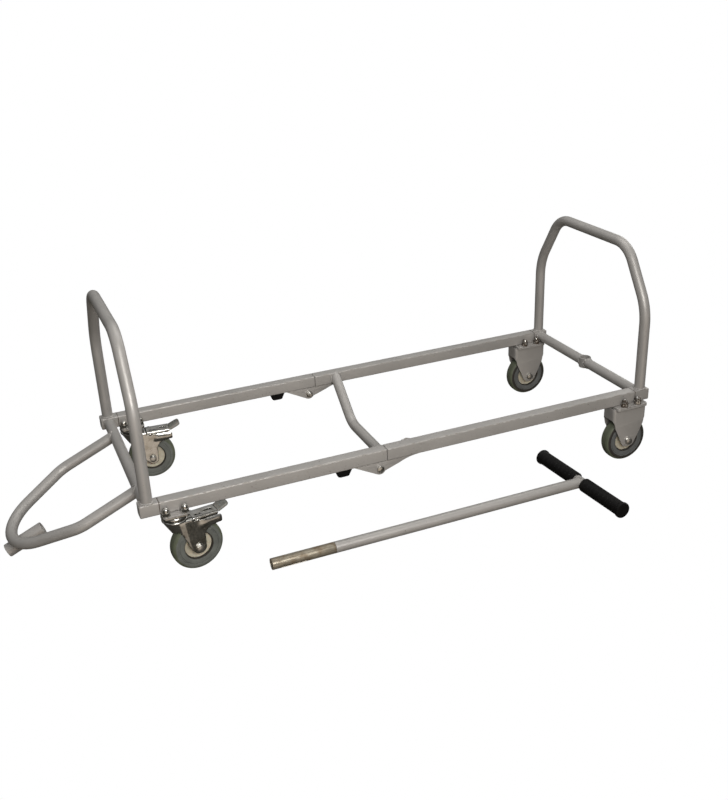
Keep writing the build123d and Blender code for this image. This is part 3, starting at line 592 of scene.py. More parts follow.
def zinc_plate(name, dull, rust=0.0):
    """Bright zinc plating on steel: cool mirror-like patches, yellow passivation, handling marks and rust."""
    material, tree, place = new_material(name)
    cloud = add_node(tree, "TexNoise", {"Vector": place, "Scale": per_mm(14), "Detail": 4.0})["Fac"]
    colour = add_node(tree, "ValToRGB", {"Fac": cloud}, [
        (0.30, linear("#A8A49C")), (0.48, linear("#BDBBB6")), (0.62, linear("#C6C5C2")),
        (0.78, linear("#B8B0A0"))])["Color"]
    marks = add_node(tree, "TexNoise", {"Vector": place, "Scale": per_mm(4), "Detail": 4.0})["Fac"]
    rough = add_node(tree, "MapRange", {
        "Value": marks, "From Min": 0.3, "From Max": 0.75,
        "To Min": 0.14 + dull, "To Max": 0.28 + dull})["Result"]
    metal = 1.0
    if rust:
        blotch = add_node(tree, "MapRange", {
            "Value": marks, "From Min": 0.62 - rust, "From Max": 0.70 - rust})["Result"]
        colour = add_node(tree, "Mix", {
            0: blotch, MIX_FIRST: colour, MIX_SECOND: linear("#41362D")}, data_type="RGBA")[MIX_RESULT]
        rough = add_node(tree, "Math", {0: rough, 1: blotch}, operation="MAXIMUM")["Value"]
        metal = add_node(tree, "Math", {0: 1.0, 1: blotch}, operation="SUBTRACT")["Value"]
    ripple = add_node(tree, "TexNoise", {"Vector": place, "Scale": per_mm(2.2), "Detail": 3.0})["Fac"]
    bump = add_node(tree, "Bump", {"Height": ripple, "Distance": 0.01 * MM, "Strength": 0.4})["Normal"]
    shader = add_node(tree, "BsdfPrincipled", {
        "Base Color": colour, "Roughness": rough, "Metallic": metal, "Normal": bump})["BSDF"]
    add_node(tree, "OutputMaterial", {"Surface": shader})
    return material


def worn_shank():
    """Bare plated tube rubbed by its socket: streaked along its length, stained brown in patches."""
    material, tree, place = new_material("worn_plated_shank")
    stretched = add_node(tree, "Mapping", {"Vector": place, "Scale": (0.12, 1.0, 1.0)})["Vector"]
    streak = add_node(tree, "TexNoise", {
        "Vector": stretched, "Scale": per_mm(3), "Detail": 5.0, "Roughness": 0.6})["Fac"]
    bright = add_node(tree, "ValToRGB", {"Fac": streak}, [
        (0.32, linear("#7F786C")), (0.50, linear("#978F80")), (0.70, linear("#ABA494"))])["Color"]
    cloud = add_node(tree, "TexNoise", {"Vector": place, "Scale": per_mm(16), "Detail": 4.0})["Fac"]
    stain = add_node(tree, "MapRange", {
        "Value": cloud, "From Min": 0.5, "From Max": 0.66, "To Max": 0.75})["Result"]
    colour = add_node(tree, "Mix", {
        0: stain, MIX_FIRST: bright, MIX_SECOND: linear("#75634D")}, data_type="RGBA")[MIX_RESULT]
    rough = add_node(tree, "MapRange", {"Value": stain, "To Min": 0.4, "To Max": 0.62})["Result"]
    bump = add_node(tree, "Bump", {"Height": streak, "Distance": 0.02 * MM, "Strength": 0.4})["Normal"]
    shader = add_node(tree, "BsdfPrincipled", {
        "Base Color": colour, "Roughness": rough, "Metallic": 0.55, "Normal": bump})["BSDF"]
    add_node(tree, "OutputMaterial", {"Surface": shader})
    return material


def grey_rubber(name, colour):
    """Non-marking moulded grey rubber: matt, slightly green, dusty and scuffed."""
    material, tree, place = new_material(name)
    cloud = add_node(tree, "TexNoise", {"Vector": place, "Scale": per_mm(18), "Detail": 4.0})["Fac"]
    base = add_node(tree, "ValToRGB", {"Fac": cloud}, [
        (0.30, tint(colour, 0.82)), (0.52, tint(colour, 1.0)), (0.74, tint(colour, 1.2))])["Color"]
    fine = add_node(tree, "TexNoise", {
        "Vector": place, "Scale": per_mm(5), "Detail": 5.0, "Roughness": 0.7})["Fac"]
    scuff = add_node(tree, "MapRange", {
        "Value": fine, "From Min": 0.56, "From Max": 0.74, "To Max": 0.4})["Result"]
    dusty = add_node(tree, "Mix", {
        0: scuff, MIX_FIRST: base, MIX_SECOND: tint(colour, 1.7)}, data_type="RGBA")[MIX_RESULT]
    rough = add_node(tree, "MapRange", {
        "Value": scuff, "From Max": 0.4, "To Min": 0.58, "To Max": 0.82})["Result"]
    # The mould's real grain is finer. It is drawn coarser, so that a close view shows it
    grain = add_node(tree, "TexNoise", {"Vector": place, "Scale": per_mm(0.8), "Detail": 3.0})["Fac"]
    bump = add_node(tree, "Bump", {"Height": grain, "Distance": 0.05 * MM, "Strength": 0.5})["Normal"]
    shader = add_node(tree, "BsdfPrincipled", {
        "Base Color": dusty, "Roughness": rough, "Normal": bump})["BSDF"]
    add_node(tree, "OutputMaterial", {"Surface": shader})
    return material


def clouded(name, size, shades, roughness, grain, more):
    """Material whose shade and roughness follow one cloudy pattern, with its patches' size in millimetres.

    A grain is the width of its bumps in millimetres, their detail, depth in millimetres and strength.
    """
    material, tree, place = new_material(name)
    cloud = add_node(tree, "TexNoise", {"Vector": place, "Scale": per_mm(size), "Detail": 4.0})["Fac"]
    base = add_node(tree, "ValToRGB", {"Fac": cloud}, shades)["Color"]
    smooth, coarse = roughness
    rough = add_node(tree, "MapRange", {
        "Value": cloud, "From Min": 0.3, "From Max": 0.7, "To Min": smooth, "To Max": coarse})["Result"]
    if grain:
        width, detail, depth, strength = grain
        fine = add_node(tree, "TexNoise", {"Vector": place, "Scale": per_mm(width), "Detail": detail})["Fac"]
        bump = add_node(tree, "Bump", {
            "Height": fine, "Distance": depth * MM, "Strength": strength})["Normal"]
        more = {**more, "Normal": bump}
    shader = add_node(tree, "BsdfPrincipled", {"Base Color": base, "Roughness": rough, **more})["BSDF"]
    add_node(tree, "OutputMaterial", {"Surface": shader})
    return material


def moulded_plastic(name, colour, shine):
    """Injection-moulded nylon: soft sheen, faint flow marks and rubbed patches."""
    shades = [(0.25, tint(colour, 0.80)), (0.50, tint(colour, 1.0)), (0.75, tint(colour, 1.12))]
    # The mould's real grain is finer. It is drawn coarser, so that a close view shows it
    grain = (1.0, 2.0, 0.03, 0.4)
    return clouded(name, 9, shades, (shine, shine + 0.15), grain, {"Subsurface Weight": 0.04})


def black_rubber(name, colour, shine):
    """Black moulded rubber: deep, its open pores hold back most of the sheen, with a fine mould grain."""
    shades = [(0.30, tint(colour, 0.75)), (0.55, tint(colour, 1.0)), (0.80, tint(colour, 1.7))]
    # Drawn coarser than it is, as on the nylon
    grain = (0.7, 3.0, 0.06, 0.5)
    return clouded(name, 8, shades, (shine, shine + 0.18), grain, {"Specular IOR Level": 0.15})


def plain_steel():
    """Oiled bright steel of the hidden balls, spindle and bushes: dark, smooth, with an oil film."""
    shades = [(0.3, linear("#75726C")), (0.7, linear("#A09D97"))]
    return clouded("oiled_bright_steel", 5, shades, (0.22, 0.42), None, {"Metallic": 1.0})


def lit_backdrop(colour):
    """Evenly lit white studio sheet under the trolley: it glows, so that nothing casts a shadow on it."""
    material, tree, _ = new_material("lit_white_backdrop")
    glow = add_node(tree, "Emission", {"Color": colour, "Strength": 1.0})
    add_node(tree, "OutputMaterial", {"Surface": glow["Emission"]})
    return material


FINISH = {}


def finishes():
    """Each finish by its short name: the slot that it fills, and its maker with what that needs."""
    colours = bpy.context.scene.trolley_colours
    return {
        "paint": ("silver_paint", silver_paint, "silver_stoved_paint", colours.paint, 1.0, 0.0),
        "weld": ("silver_paint", silver_paint, "silver_paint_over_weld", colours.paint, 2.5, 0.05),
        "worn_paint": ("silver_paint", silver_paint, "worn_silver_paint", colours.paint, 1.5, 0.10),
        "rail_paint": ("silver_paint", silver_paint, "silver_paint_rubbed_at_edges", colours.paint, 1.0, 0.03,
                       True),
        "rust": ("silver_paint", silver_paint, "rust_in_a_seam", colours.rust, 4.0, 0.15),
        "zinc": ("zinc", zinc_plate, "zinc_plated_steel", 0.0),
        "rusty_zinc": ("zinc", zinc_plate, "rusting_zinc_plated_steel", 0.10, 0.19),
        "dull_zinc": ("zinc", zinc_plate, "dull_zinc_plated_steel", 0.12),
        "shank": ("zinc", worn_shank),
        "front_tyre": ("grey_tyre", grey_rubber, "grey_moulded_rubber", colours.tyre),
        # The rear tyres' rubber is a darker, bluer copy of the front tyres': its darkness is painted shade for the
        # dimmer light at the rear
        "rear_tyre": ("grey_tyre", grey_rubber, "dusty_grey_moulded_rubber", colours.rear_tyre),
        "tread": ("grey_tyre", grey_rubber, "dirty_tread_rubber", colours.tread),
        # Dark rubber of the rings of painted shade on the tyres
        "tyre_shade": ("grey_tyre", grey_rubber, "grimy_rubber_lip", colours.tyre_shade),
        "hub": ("cream_hub", moulded_plastic, "cream_moulded_nylon", colours.hub, 0.40),
        "grip": ("black_grip", black_rubber, "black_grip_rubber", colours.grip, 0.46),
        "buffer": ("black_buffer", black_rubber, "black_buffer_rubber", colours.grip, 0.62),
        "pedal": ("grey_pedal", moulded_plastic, "grey_moulded_nylon", colours.pedal, 0.45),
        "steel": ("steel", plain_steel),
    }


def finish(name):
    """Material of a finish, made when it is first needed, and the slot that it fills."""
    slot, maker, *needs = finishes()[name]
    if name not in FINISH:
        FINISH[name] = maker(*needs)
    return FINISH[name], slot


def dress_node(node, look):
    """Gives a node that stays in view its finish."""
    material, _ = finish(look)
    piece = frame["nodes"][node]
    piece.data.materials.clear()
    piece.data.materials.append(material)


# Settings

class TrolleySizes(bpy.types.PropertyGroup):
    """Sizes of the visible pieces that the frame doesn't give."""
    rail_edge: FloatProperty(name="Rail edge", description="Outer edge radius of the box rails",
                             default=2.5 * MM, unit="LENGTH")
    rail_wall: FloatProperty(name="Rail wall", description="Wall of the box rails",
                             default=1.5 * MM, unit="LENGTH")
    seam: FloatProperty(name="Seam", description="Depth of the chamfers where a rail meets its end piece",
                        default=0.8 * MM, unit="LENGTH")
    tube_wall: FloatProperty(name="Tube wall", description="Wall of the round tubes",
                             default=1.6 * MM, unit="LENGTH")
    loop_shoulder: FloatProperty(name="Loop shoulder", description="Height of a shoulder above the rail",
                                 default=178 * MM, unit="LENGTH")
    loop_top: FloatProperty(name="Loop top", description="Width of a loop's top between its corner points",
                            default=252 * MM, unit="LENGTH")
    loop_bend: FloatProperty(name="Loop bend", description="Bend radius at the top of the loops",
                             default=65 * MM, unit="LENGTH")
    shoulder_bend: FloatProperty(name="Shoulder bend", description="Bend radius at the loops' shoulders",
                                 default=120 * MM, unit="LENGTH")
    brace_flat: FloatProperty(name="Brace flat", description="Length of the brace's low middle",
                              default=198 * MM, unit="LENGTH")
    brace_bend: FloatProperty(name="Brace bend", description="Bend radius of the brace",
                              default=60 * MM, unit="LENGTH")
    drawbar_width: FloatProperty(name="Drawbar width", description="Distance between the drawbar's legs",
                                 default=250 * MM, unit="LENGTH")
    drawbar_straight: FloatProperty(name="Drawbar straight", description="Straight part of a drawbar leg",
                                    default=126 * MM, unit="LENGTH")
    drawbar_taper: FloatProperty(name="Drawbar taper", description="Angle at which the legs draw together",
                                 default=math.radians(28.6), unit="ROTATION")
    drawbar_bend: FloatProperty(name="Drawbar bend", description="Bend radius of the drawbar's legs",
                                default=60 * MM, unit="LENGTH")
    drawbar_nose: FloatProperty(name="Drawbar nose", description="Bend radius of the drawbar's nose",
                                default=92 * MM, unit="LENGTH")
    handle_length: FloatProperty(name="Handle length", description="From the shank's end to the crossbar",
                                 default=671 * MM, unit="LENGTH")
    shank_length: FloatProperty(name="Shank length", description="Length of the handle's bare end",
                                default=126 * MM, unit="LENGTH")
    slot_turn: FloatProperty(name="Slot turn", description="Turn of the shank's slot about the handle",
                             default=math.radians(-55), unit="ROTATION")
    weld: FloatProperty(name="Weld bead", description="Radius of a weld bead",
                        default=1.9 * MM, unit="LENGTH")


class TrolleyColours(bpy.types.PropertyGroup):
    """Colours of the finishes and of the stage."""
    paint: FloatVectorProperty(name="Paint", description="Colour of the frame's silver paint",
                               subtype="COLOR", size=4, default=linear("#AAA7A4"))
    tyre: FloatVectorProperty(name="Tyre", description="Colour of the front tyres", subtype="COLOR",
                              size=4, default=linear("#656864"))
    # A darker, bluer copy of the front tyres' colour: its darkness is painted shade
    rear_tyre: FloatVectorProperty(name="Rear tyre", description="Colour of the rear tyres, darker as painted shade",
                                   subtype="COLOR", size=4, default=linear("#5F6161"))
    tread: FloatVectorProperty(name="Tread", description="Colour of the dirt on the tyres' treads",
                               subtype="COLOR", size=4, default=linear("#5C6150"))
    # Dark rings on the tyres: painted shade in the hub's recess and on the rear tyres' shoulders
    tyre_shade: FloatVectorProperty(name="Tyre shade", description="Colour of the painted shade round the tyres' edges",
                               subtype="COLOR", size=4, default=linear("#302D29"))
    rust: FloatVectorProperty(name="Rust", description="Colour of the rust in the rails' seams",
                              subtype="COLOR", size=4, default=linear("#4E4036"))
    hub: FloatVectorProperty(name="Hub", description="Colour of the moulded hubs", subtype="COLOR",
                             size=4, default=linear("#C3BBA8"))
    grip: FloatVectorProperty(name="Grip", description="Colour of the rubber grips and buffers",
                              subtype="COLOR", size=4, default=linear("#100F0F"))
    pedal: FloatVectorProperty(name="Pedal", description="Colour of the brake pedals", subtype="COLOR",
                               size=4, default=linear("#888782"))
    backdrop: FloatVectorProperty(name="Backdrop", description="Colour of the lit studio sheet",
                                  subtype="COLOR", size=4, default=linear("#FFFFFF"))
    light: FloatVectorProperty(name="Light", description="Colour of the studio lights", subtype="COLOR",
                               size=3, default=linear("#FFFDF9")[:3])


# Frame pieces

def rail_ring(x, z, side, width, edge):
    """Ring round a square section at one place along a rail."""
    return outline_at(basis(on_rail(x, z, side), ACROSS, ALONG), rounded(width, width, edge))


class TROLLEY_OT_rails(bpy.types.Operator):
    """Box rails and their welded end pieces"""
    bl_idname = "trolley.rails"
    bl_label = "Rails"

    def execute(self, context):
        sizes = context.scene.trolley_sizes
        edge = sizes.rail_edge
        seam = sizes.seam
        face = RAIL_SIZE - 2 * seam
        bore = RAIL_SIZE - 2 * sizes.rail_wall
        bore_edge = edge - sizes.rail_wall
        for end in ENDS:
            for name, side in SIDES:
                low, high, middle = span(f"{end}_rail_{name}")
                stations = ((low.x, face, edge), (low.x + seam, RAIL_SIZE, edge),
                            (high.x - seam, RAIL_SIZE, edge), (high.x, face, edge),
                            (high.x, bore, bore_edge), (low.x, bore, bore_edge))
                rings = [rail_ring(x, middle.z, side, width, corner) for x, width, corner in stations]
                stand_in("painted", f"{end}_rail_{name}", [skin(rings, looped=True)], "rail_paint",
                         f"{end}_frame")
            self.end_pieces(end, edge, seam)
        return {"FINISHED"}

    def end_pieces(self, end, edge, seam):
        """Closed end pieces of one half, rounded over at the outer end, with rust in the inner seam."""
        low, high, middle = span(f"{end}_corners")
        inward = 1 if end == "front" else -1
        outer_x, inner_x = (low.x, high.x) if end == "front" else (high.x, low.x)
        rust_half = 0.6 * seam
        steps = 4
        skins = []
        seams = []
        for _, side in SIDES:
            rings = []
            for step in range(steps + 1):
                angle = math.pi / 2 * step / steps
                x = outer_x + inward * edge * (1 - math.cos(angle))
                width = RAIL_SIZE - 2 * edge * (1 - math.sin(angle))
                corner = edge * (0.4 + 0.6 * math.sin(angle))
                rings.append(rail_ring(x, middle.z, side, width, corner))
            rings.append(rail_ring(inner_x - inward * seam, middle.z, side, RAIL_SIZE, edge))
            rings.append(rail_ring(inner_x, middle.z, side, RAIL_SIZE - 2 * seam, edge))
            skins.append(skin(rings))
            seams.append(skin([rail_ring(inner_x + shift, middle.z, side, RAIL_SIZE - seam / 2, edge)
                               for shift in (-rust_half, rust_half)]))
        stand_in("painted", f"{end}_corners", skins, "rail_paint", f"{end}_frame")
        add_piece(f"{end}_seam_rust", seams, "rust", f"{end}_frame")


class TROLLEY_OT_end_loops(bpy.types.Operator):
    """Upright tube loops at both ends, welded to the rails"""
    bl_idname = "trolley.end_loops"
    bl_label = "End Loops"

    def execute(self, context):
        sizes = context.scene.trolley_sizes
        bends = [sizes.shoulder_bend, sizes.loop_bend, sizes.loop_bend, sizes.shoulder_bend]
        half_top = sizes.loop_top / 2
        for end in ENDS:
            low, high, middle = span(f"{end}_loop")
            shoulder = low.z + sizes.loop_shoulder
            top = high.z - TUBE_RADIUS
            outline = [(-RAIL_REACH, low.z), (-RAIL_REACH, shoulder), (-half_top, top),
                       (half_top, top), (RAIL_REACH, shoulder), (RAIL_REACH, low.z)]
            corners = [Vector((middle.x, MIDDLE_Y + y, z)) for y, z in outline]
            loop = bar(bent_path(corners, bends), ALONG, TUBE_RADIUS)
            stand_in("painted", f"{end}_loop", [loop], "paint", f"{end}_frame")
            beads = []
            for _, side in SIDES:
                foot = on_rail(middle.x, low.z + BEAD_RISE * MM, side)
                beads.append(ring_bead(foot, UP, TUBE_RADIUS, sizes.weld))
            add_piece(f"{end}_loop_welds", beads, "weld", f"{end}_frame")
        return {"FINISHED"}


class TROLLEY_OT_rear_crossbar(bpy.types.Operator):
    """Rear crossbar with the handle's upright sleeve through its middle"""
    bl_idname = "trolley.rear_crossbar"
    bl_label = "Rear Crossbar"

    def execute(self, context):
        sizes = context.scene.trolley_sizes
        low, high, middle = span("rear_crossbar")
        sleeve_low, sleeve_high, _ = span("handle_sleeve")
        outer = (sleeve_high.x - sleeve_low.x) / 2
        bore = mount_named("rear_sleeve")["dims"]["r_mm"] * MM
        overlap = 1 * MM
        centre = Vector((middle.x, MIDDLE_Y, middle.z))
        halves = []
        beads = []
        for _, side in SIDES:
            outward = ACROSS * side
            end = centre + outward * (high.y - low.y) / 2
            halves.append(bar([centre + outward * (outer - overlap), end], UP, TUBE_RADIUS))
            beads.append(ring_bead(end - outward * BEAD_SINK * MM, ACROSS, TUBE_RADIUS, sizes.weld))
            beads.append(saddle_bead(centre, outward, UP, TUBE_RADIUS, outer, sizes.weld))
        stand_in("painted", "rear_crossbar", halves, "paint", "rear_frame")
        add_piece("rear_crossbar_welds", beads, "weld", "rear_frame")
        foot = Vector((middle.x, MIDDLE_Y, sleeve_low.z))
        head = Vector((middle.x, MIDDLE_Y, sleeve_high.z))
        sleeve = open_tube(foot, head, outer, outer - bore)
        stand_in("painted", "handle_sleeve", [sleeve], "paint", "rear_frame")
        return {"FINISHED"}


class TROLLEY_OT_brace(bpy.types.Operator):
    """Bent brace that hangs below the rear rails, welded to their inner faces"""
    bl_idname = "trolley.brace"
    bl_label = "Brace"

    def execute(self, context):
        sizes = context.scene.trolley_sizes
        low, high, middle = span("mid_brace")
        half = (high.y - low.y) / 2
        bottom = low.z + TUBE_RADIUS
        outline = [(-half, RAIL_MIDDLE.z), (-sizes.brace_flat / 2, bottom),
                   (sizes.brace_flat / 2, bottom), (half, RAIL_MIDDLE.z)]
        corners = [Vector((middle.x, MIDDLE_Y + y, z)) for y, z in outline]
        points, faces = bar(bent_path(corners, [sizes.brace_bend] * 2), ALONG, TUBE_RADIUS)
        last_ring = range(len(points) - ROUND, len(points))
        beads = []
        for side, ring, inner, outer in ((-1, range(ROUND), corners[1], corners[0]),
                                         (1, last_ring, corners[2], corners[3])):
            # The tube's end is cut flush with the rail's upright face
            slope = (outer - inner).normalized()
            for index in ring:
                points[index] = points[index] + slope * ((outer.y - points[index].y) / slope.y)
            centre = outer - ACROSS * side * BEAD_SINK * MM
            beads.append(ring_bead(centre, ACROSS, TUBE_RADIUS, sizes.weld, 1 / abs(slope.y)))
        stand_in("painted", "mid_brace", [(points, faces)], "paint", "rear_frame")
        add_piece("mid_brace_welds", beads, "weld", "rear_frame")
        return {"FINISHED"}


class TROLLEY_OT_drawbar(bpy.types.Operator):
    """Drawbar: turning crossbar, looped tube and the socket under its nose"""
    bl_idname = "trolley.drawbar"
    bl_label = "Drawbar"

    def execute(self, context):
        sizes = context.scene.trolley_sizes
        pivot, _ = joint_place("drawbar_hinge")
        mount = mount_named("drawbar_socket")
        forward = Vector(mount["axis"])
        normal = forward.cross(ACROSS).normalized()
        normal = normal if normal.z > 0 else -normal
        low, high, _ = span("drawbar_crossbar")
        half = ACROSS * (high.y - low.y) / 2
        tube = open_tube(pivot - half, pivot + half, TUBE_RADIUS, sizes.tube_wall)
        stand_in("painted", "drawbar_crossbar", [tube], "paint", "drawbar")
        dress_node("drawbar_spindle", "steel")
        root = TUBE_RADIUS / 2
        reach = sizes.drawbar_width / 2
        straight = sizes.drawbar_straight
        meeting = straight + reach / math.tan(sizes.drawbar_taper)
        legs = [(root, -reach), (straight, -reach), (meeting, 0.0), (straight, reach), (root, reach)]
        corners = [pivot + forward * along + ACROSS * across for along, across in legs]
        path = bent_path(corners, [sizes.drawbar_bend, sizes.drawbar_nose, sizes.drawbar_bend], 20)
        loop = bar(path, normal, TUBE_RADIUS)
        stand_in("painted", "drawbar_loop", [loop], "paint", "drawbar")
        beads = []
        for _, side in SIDES:
            foot = pivot + ACROSS * side * reach
            beads.append(saddle_bead(foot, forward, ACROSS, TUBE_RADIUS, TUBE_RADIUS, sizes.weld))
        beads += self.socket(sizes, mount, forward, normal, path[len(path) // 2])
        add_piece("drawbar_welds", beads, "weld", "drawbar")
        return {"FINISHED"}

    def socket(self, sizes, mount, forward, normal, nose):
        """Open tube under the nose. Returns the welds before and behind the nose that rests on it."""
        middle = Vector(mount["pos_m"])
        half = forward * mount["dims"]["length_mm"] * MM / 2
        bore = mount["dims"]["r_mm"] * MM
        wall = 2 * MM
        edge = 0.6 * MM
        radius = bore + wall
        tube = open_tube(middle - half, middle + half, radius, wall, edge)
        stand_in("painted", "drawbar_socket", [tube], "paint", "drawbar")
        sunk = 0.94
        spread = 5.5 * MM
        pace = 3 * MM
        seat = middle + forward * forward.dot(nose - middle) + normal * radius * sunk
        beads = []
        for side in (-1, 1):
            run = [seat + forward * side * spread + ACROSS * step * pace for step in range(-3, 4)]
            beads.append(bead(run, [normal] * len(run), sizes.weld, looped=False))
        return beads


class TROLLEY_OT_fold_hinge(bpy.types.Operator):
    """Hinge plates under the rails, with their bolts, nuts and bushes"""
    bl_idname = "trolley.fold_hinge"
    bl_label = "Fold Hinge"

    def execute(self, context):
        pin, _ = joint_place("frame_fold")
        drop = (pin.z - RAIL_LOW.z) / MM
        radius = 13.0
        lobe = circle(0, drop, radius, ROUND)
        hole = circle(0, drop, BOLT / 2 + HINGE_PLAY)
        # The plates' upper edges lie a hair under the rails
        top = -0.02
        self.plates("front", [hull(lobe + [(-53.0, top), (radius, top)]), hole], pin.x)
        self.plates("rear", [self.rear_outline(lobe, top), hole], pin.x)
        self.bolts(pin)
        dress_node("hinge_spacers", "steel")
        return {"FINISHED"}

    def rear_outline(self, lobe, top):
        """Rear plate: a hollow tail runs from the waist behind the lobe up to the plate's end."""
        waist = (42.8, -12.0)
        end = (84.8, -2.0)
        hollow = 9.4
        tail = []
        for share in (0.9, 0.75, 0.6, 0.45, 0.3, 0.15, 0.0):
            x = end[0] + (waist[0] - end[0]) * share
            z = end[1] + (waist[1] - end[1]) * share
            tail.append((x, z + hollow * share * (1 - share)))
        shelf = [(end[0], top), (16.8, top), (16.8, -0.5)]
        # Of the lobe, the round in front of the pin and below it stays
        blunt = hull(lobe + [waist])
        start = blunt.index(waist)
        front = [point for point in blunt[start + 1:] + blunt[:start] if point[0] < 1.0]
        return [waist, *tail, *shelf, *front]

    def plates(self, end, loops, x):
        """The four plates of one half."""
        low, high, _ = span(f"{end}_hinge_plates")
        offset = (high.y - low.y) / 2 - RAIL_REACH - SHEET / 2 * MM
        blank = sheet_metal(loops, SHEET, SHEET_EDGE)
        skins = []
        for _, side in SIDES:
            for shift in (-offset, offset):
                place = basis(on_rail(x, RAIL_LOW.z, side) + ACROSS * shift, ALONG, -ACROSS)
                skins += moved([blank], place)
        stand_in("painted", f"{end}_hinge_plates", skins, "paint", f"{end}_frame")

    def bolts(self, pin):
        """Bolt heads on the trolley's outer sides and nuts on its inner sides."""
        low, high, _ = span("hinge_bolts")
        head_reach = (high.y - low.y) / 2 - BOLT_HEAD * MM
        nut_reach = 2 * RAIL_REACH - head_reach
        centre = Vector((pin.x, MIDDLE_Y, pin.z))
        heads = []
        nuts = []
        for _, side in SIDES:
            outward = ACROSS * side
            heads += moved(bolt_head(), basis(centre + outward * head_reach, ALONG, outward))
            nuts += moved(lock_nut(), basis(centre + outward * nut_reach, ALONG, -outward))
        stand_in("plated", "hinge_bolts", heads, "zinc", "hinge_pins")
        stand_in("plated", "hinge_nuts", nuts, "zinc", "hinge_pins")


class TROLLEY_OT_buffers(bpy.types.Operator):
    """Tapered rubber buffers under the front rails"""
    bl_idname = "trolley.buffers"
    bl_label = "Buffers"

    def execute(self, context):
        low, high, middle = span("buffers")
        height = (high.z - low.z) / MM
        length = (high.x - low.x) / MM
        width = 22.0
        profile = ((0.0, 0.0), (0.8, 0.3), (13.0, 9.0), (14.8, 10.2), (15.7, 12.5), (height, 15.0))
        skins = []
        for _, side in SIDES:
            rings = []
            for depth, shrink in profile:
                place = Matrix.Translation(on_rail(middle.x, high.z - depth * MM, side))
                rings.append(outline_at(place, rounded(length - shrink, width - shrink * 0.75, 4.0), MM))
            skins.append(skin(rings))
        stand_in("moulded", "buffers", skins, "buffer", "front_frame", crease=50)
        return {"FINISHED"}


# Casters

def bolt_spots(end):
    """Middles of the four plate studs beside each rail, at the washers' foot."""
    low, high, middle = span(f"{end}_caster_washers")
    reach = (high.x - low.x) / 2 - WASHER_RADIUS * MM
    offset = (high.y - low.y) / 2 - WASHER_RADIUS * MM - RAIL_REACH
    spots = []
    for _, side in SIDES:
        for x in (-reach, reach):
            for y in (-offset, offset):
                spots.append(on_rail(middle.x + x, low.z, side) + ACROSS * y)
    return spots


def stud_plate(end, middle, length, width, thickness):
    """Flat plate with rounded corners and its four stud holes, about its own middle."""
    holes = []
    for spot in bolt_spots(end)[:4]:
        across = spot.y - on_rail(0, 0, -1).y
        holes.append(circle((spot.x - middle.x) / MM, across / MM, BOLT / 2 + STUD_PLAY, 20))
    outline = rounded(length / MM - PLATE_TRIM[end], width / MM, PLATE_CORNER)
    return sheet_metal([outline, *holes], thickness, SHEET_EDGE)


class TROLLEY_OT_caster_plates(bpy.types.Operator):
    """Mounting plates on the rails and the dished plates of the swivels"""
    bl_idname = "trolley.caster_plates"
    bl_label = "Caster Plates"

    def execute(self, context):
        for end in ENDS:
            plates = self.plates(f"{end}_mount_plates", end, SHEET)
            stand_in("painted", f"{end}_mount_plates", plates, "worn_paint", f"{end}_frame")
        plates = self.plates("swivel_plates", "front", CASTER_PLATE)
        dish = [(5.1, 129.0), (15.0, 129.0), (19.0, 128.3), (22.0, 126.7), (24.0, 124.4), (24.8, 122.2),
                (24.4, 120.7), (23.0, 120.0), (14.0, 120.0), (13.4, 121.0), (5.1, 121.0)]
        for name, _ in SIDES:
            king, _ = joint_place("swivel_" + name)
            plates.append(turned(dish, Vector((king.x, king.y, 0)), UP))
        stand_in("plated", "swivel_plates", plates, "zinc", "front_frame")
        dress_node("kingpins", "zinc")
        dress_node("swivel_balls", "steel")
        return {"FINISHED"}

    def plates(self, node, end, thickness):
        """A bolted plate under each rail."""
        low, high, middle = span(node)
        width = ((high.y - low.y) / 2 - RAIL_REACH) * 2
        blank = stud_plate(end, middle, high.x - low.x, width, thickness)
        height = high.z - thickness / 2 * MM
        plates = []
        for _, side in SIDES:
            plates += moved([blank], Matrix.Translation(on_rail(middle.x, height, side)))
        return plates


class TROLLEY_OT_caster_fasteners(bpy.types.Operator):
    """Domed nuts and washers on the studs that hold the casters"""
    bl_idname = "trolley.caster_fasteners"
    bl_label = "Caster Fasteners"

    def execute(self, context):
        looks = {"front": ("zinc", "zinc"), "rear": ("rust", "rusty_zinc")}
        for end in ENDS:
            washers = []
            nuts = []
            for spot in bolt_spots(end):
                washers += moved([washer(WASHER)], Matrix.Translation(spot))
                nuts += moved(dome_nut(), basis(spot + UP * WASHER * MM, ALONG, UP))
            for kind, skins, look in zip(("washers", "nuts"), (washers, nuts), looks[end]):
                stand_in("plated", f"{end}_caster_{kind}", skins, look, f"{end}_frame")
            dress_node(f"{end}_caster_bolts", "zinc")
        return {"FINISHED"}


def axle_fasteners(place):
    """Head with its washer on the left of a caster, and the nut on its right, about the axle."""
    out = FORK_HALF + SHEET / 2
    left = place @ basis(Vector((0, -out, 0)) * MM, ALONG, -ACROSS)
    right = place @ basis(Vector((0, out, 0)) * MM, ALONG, ACROSS)
    lift = Matrix.Translation(UP * AXLE_WASHER * MM)
    heads = moved([washer(AXLE_WASHER)], left) + moved(bolt_head(), left @ lift)
    return heads, moved(lock_nut(), right)


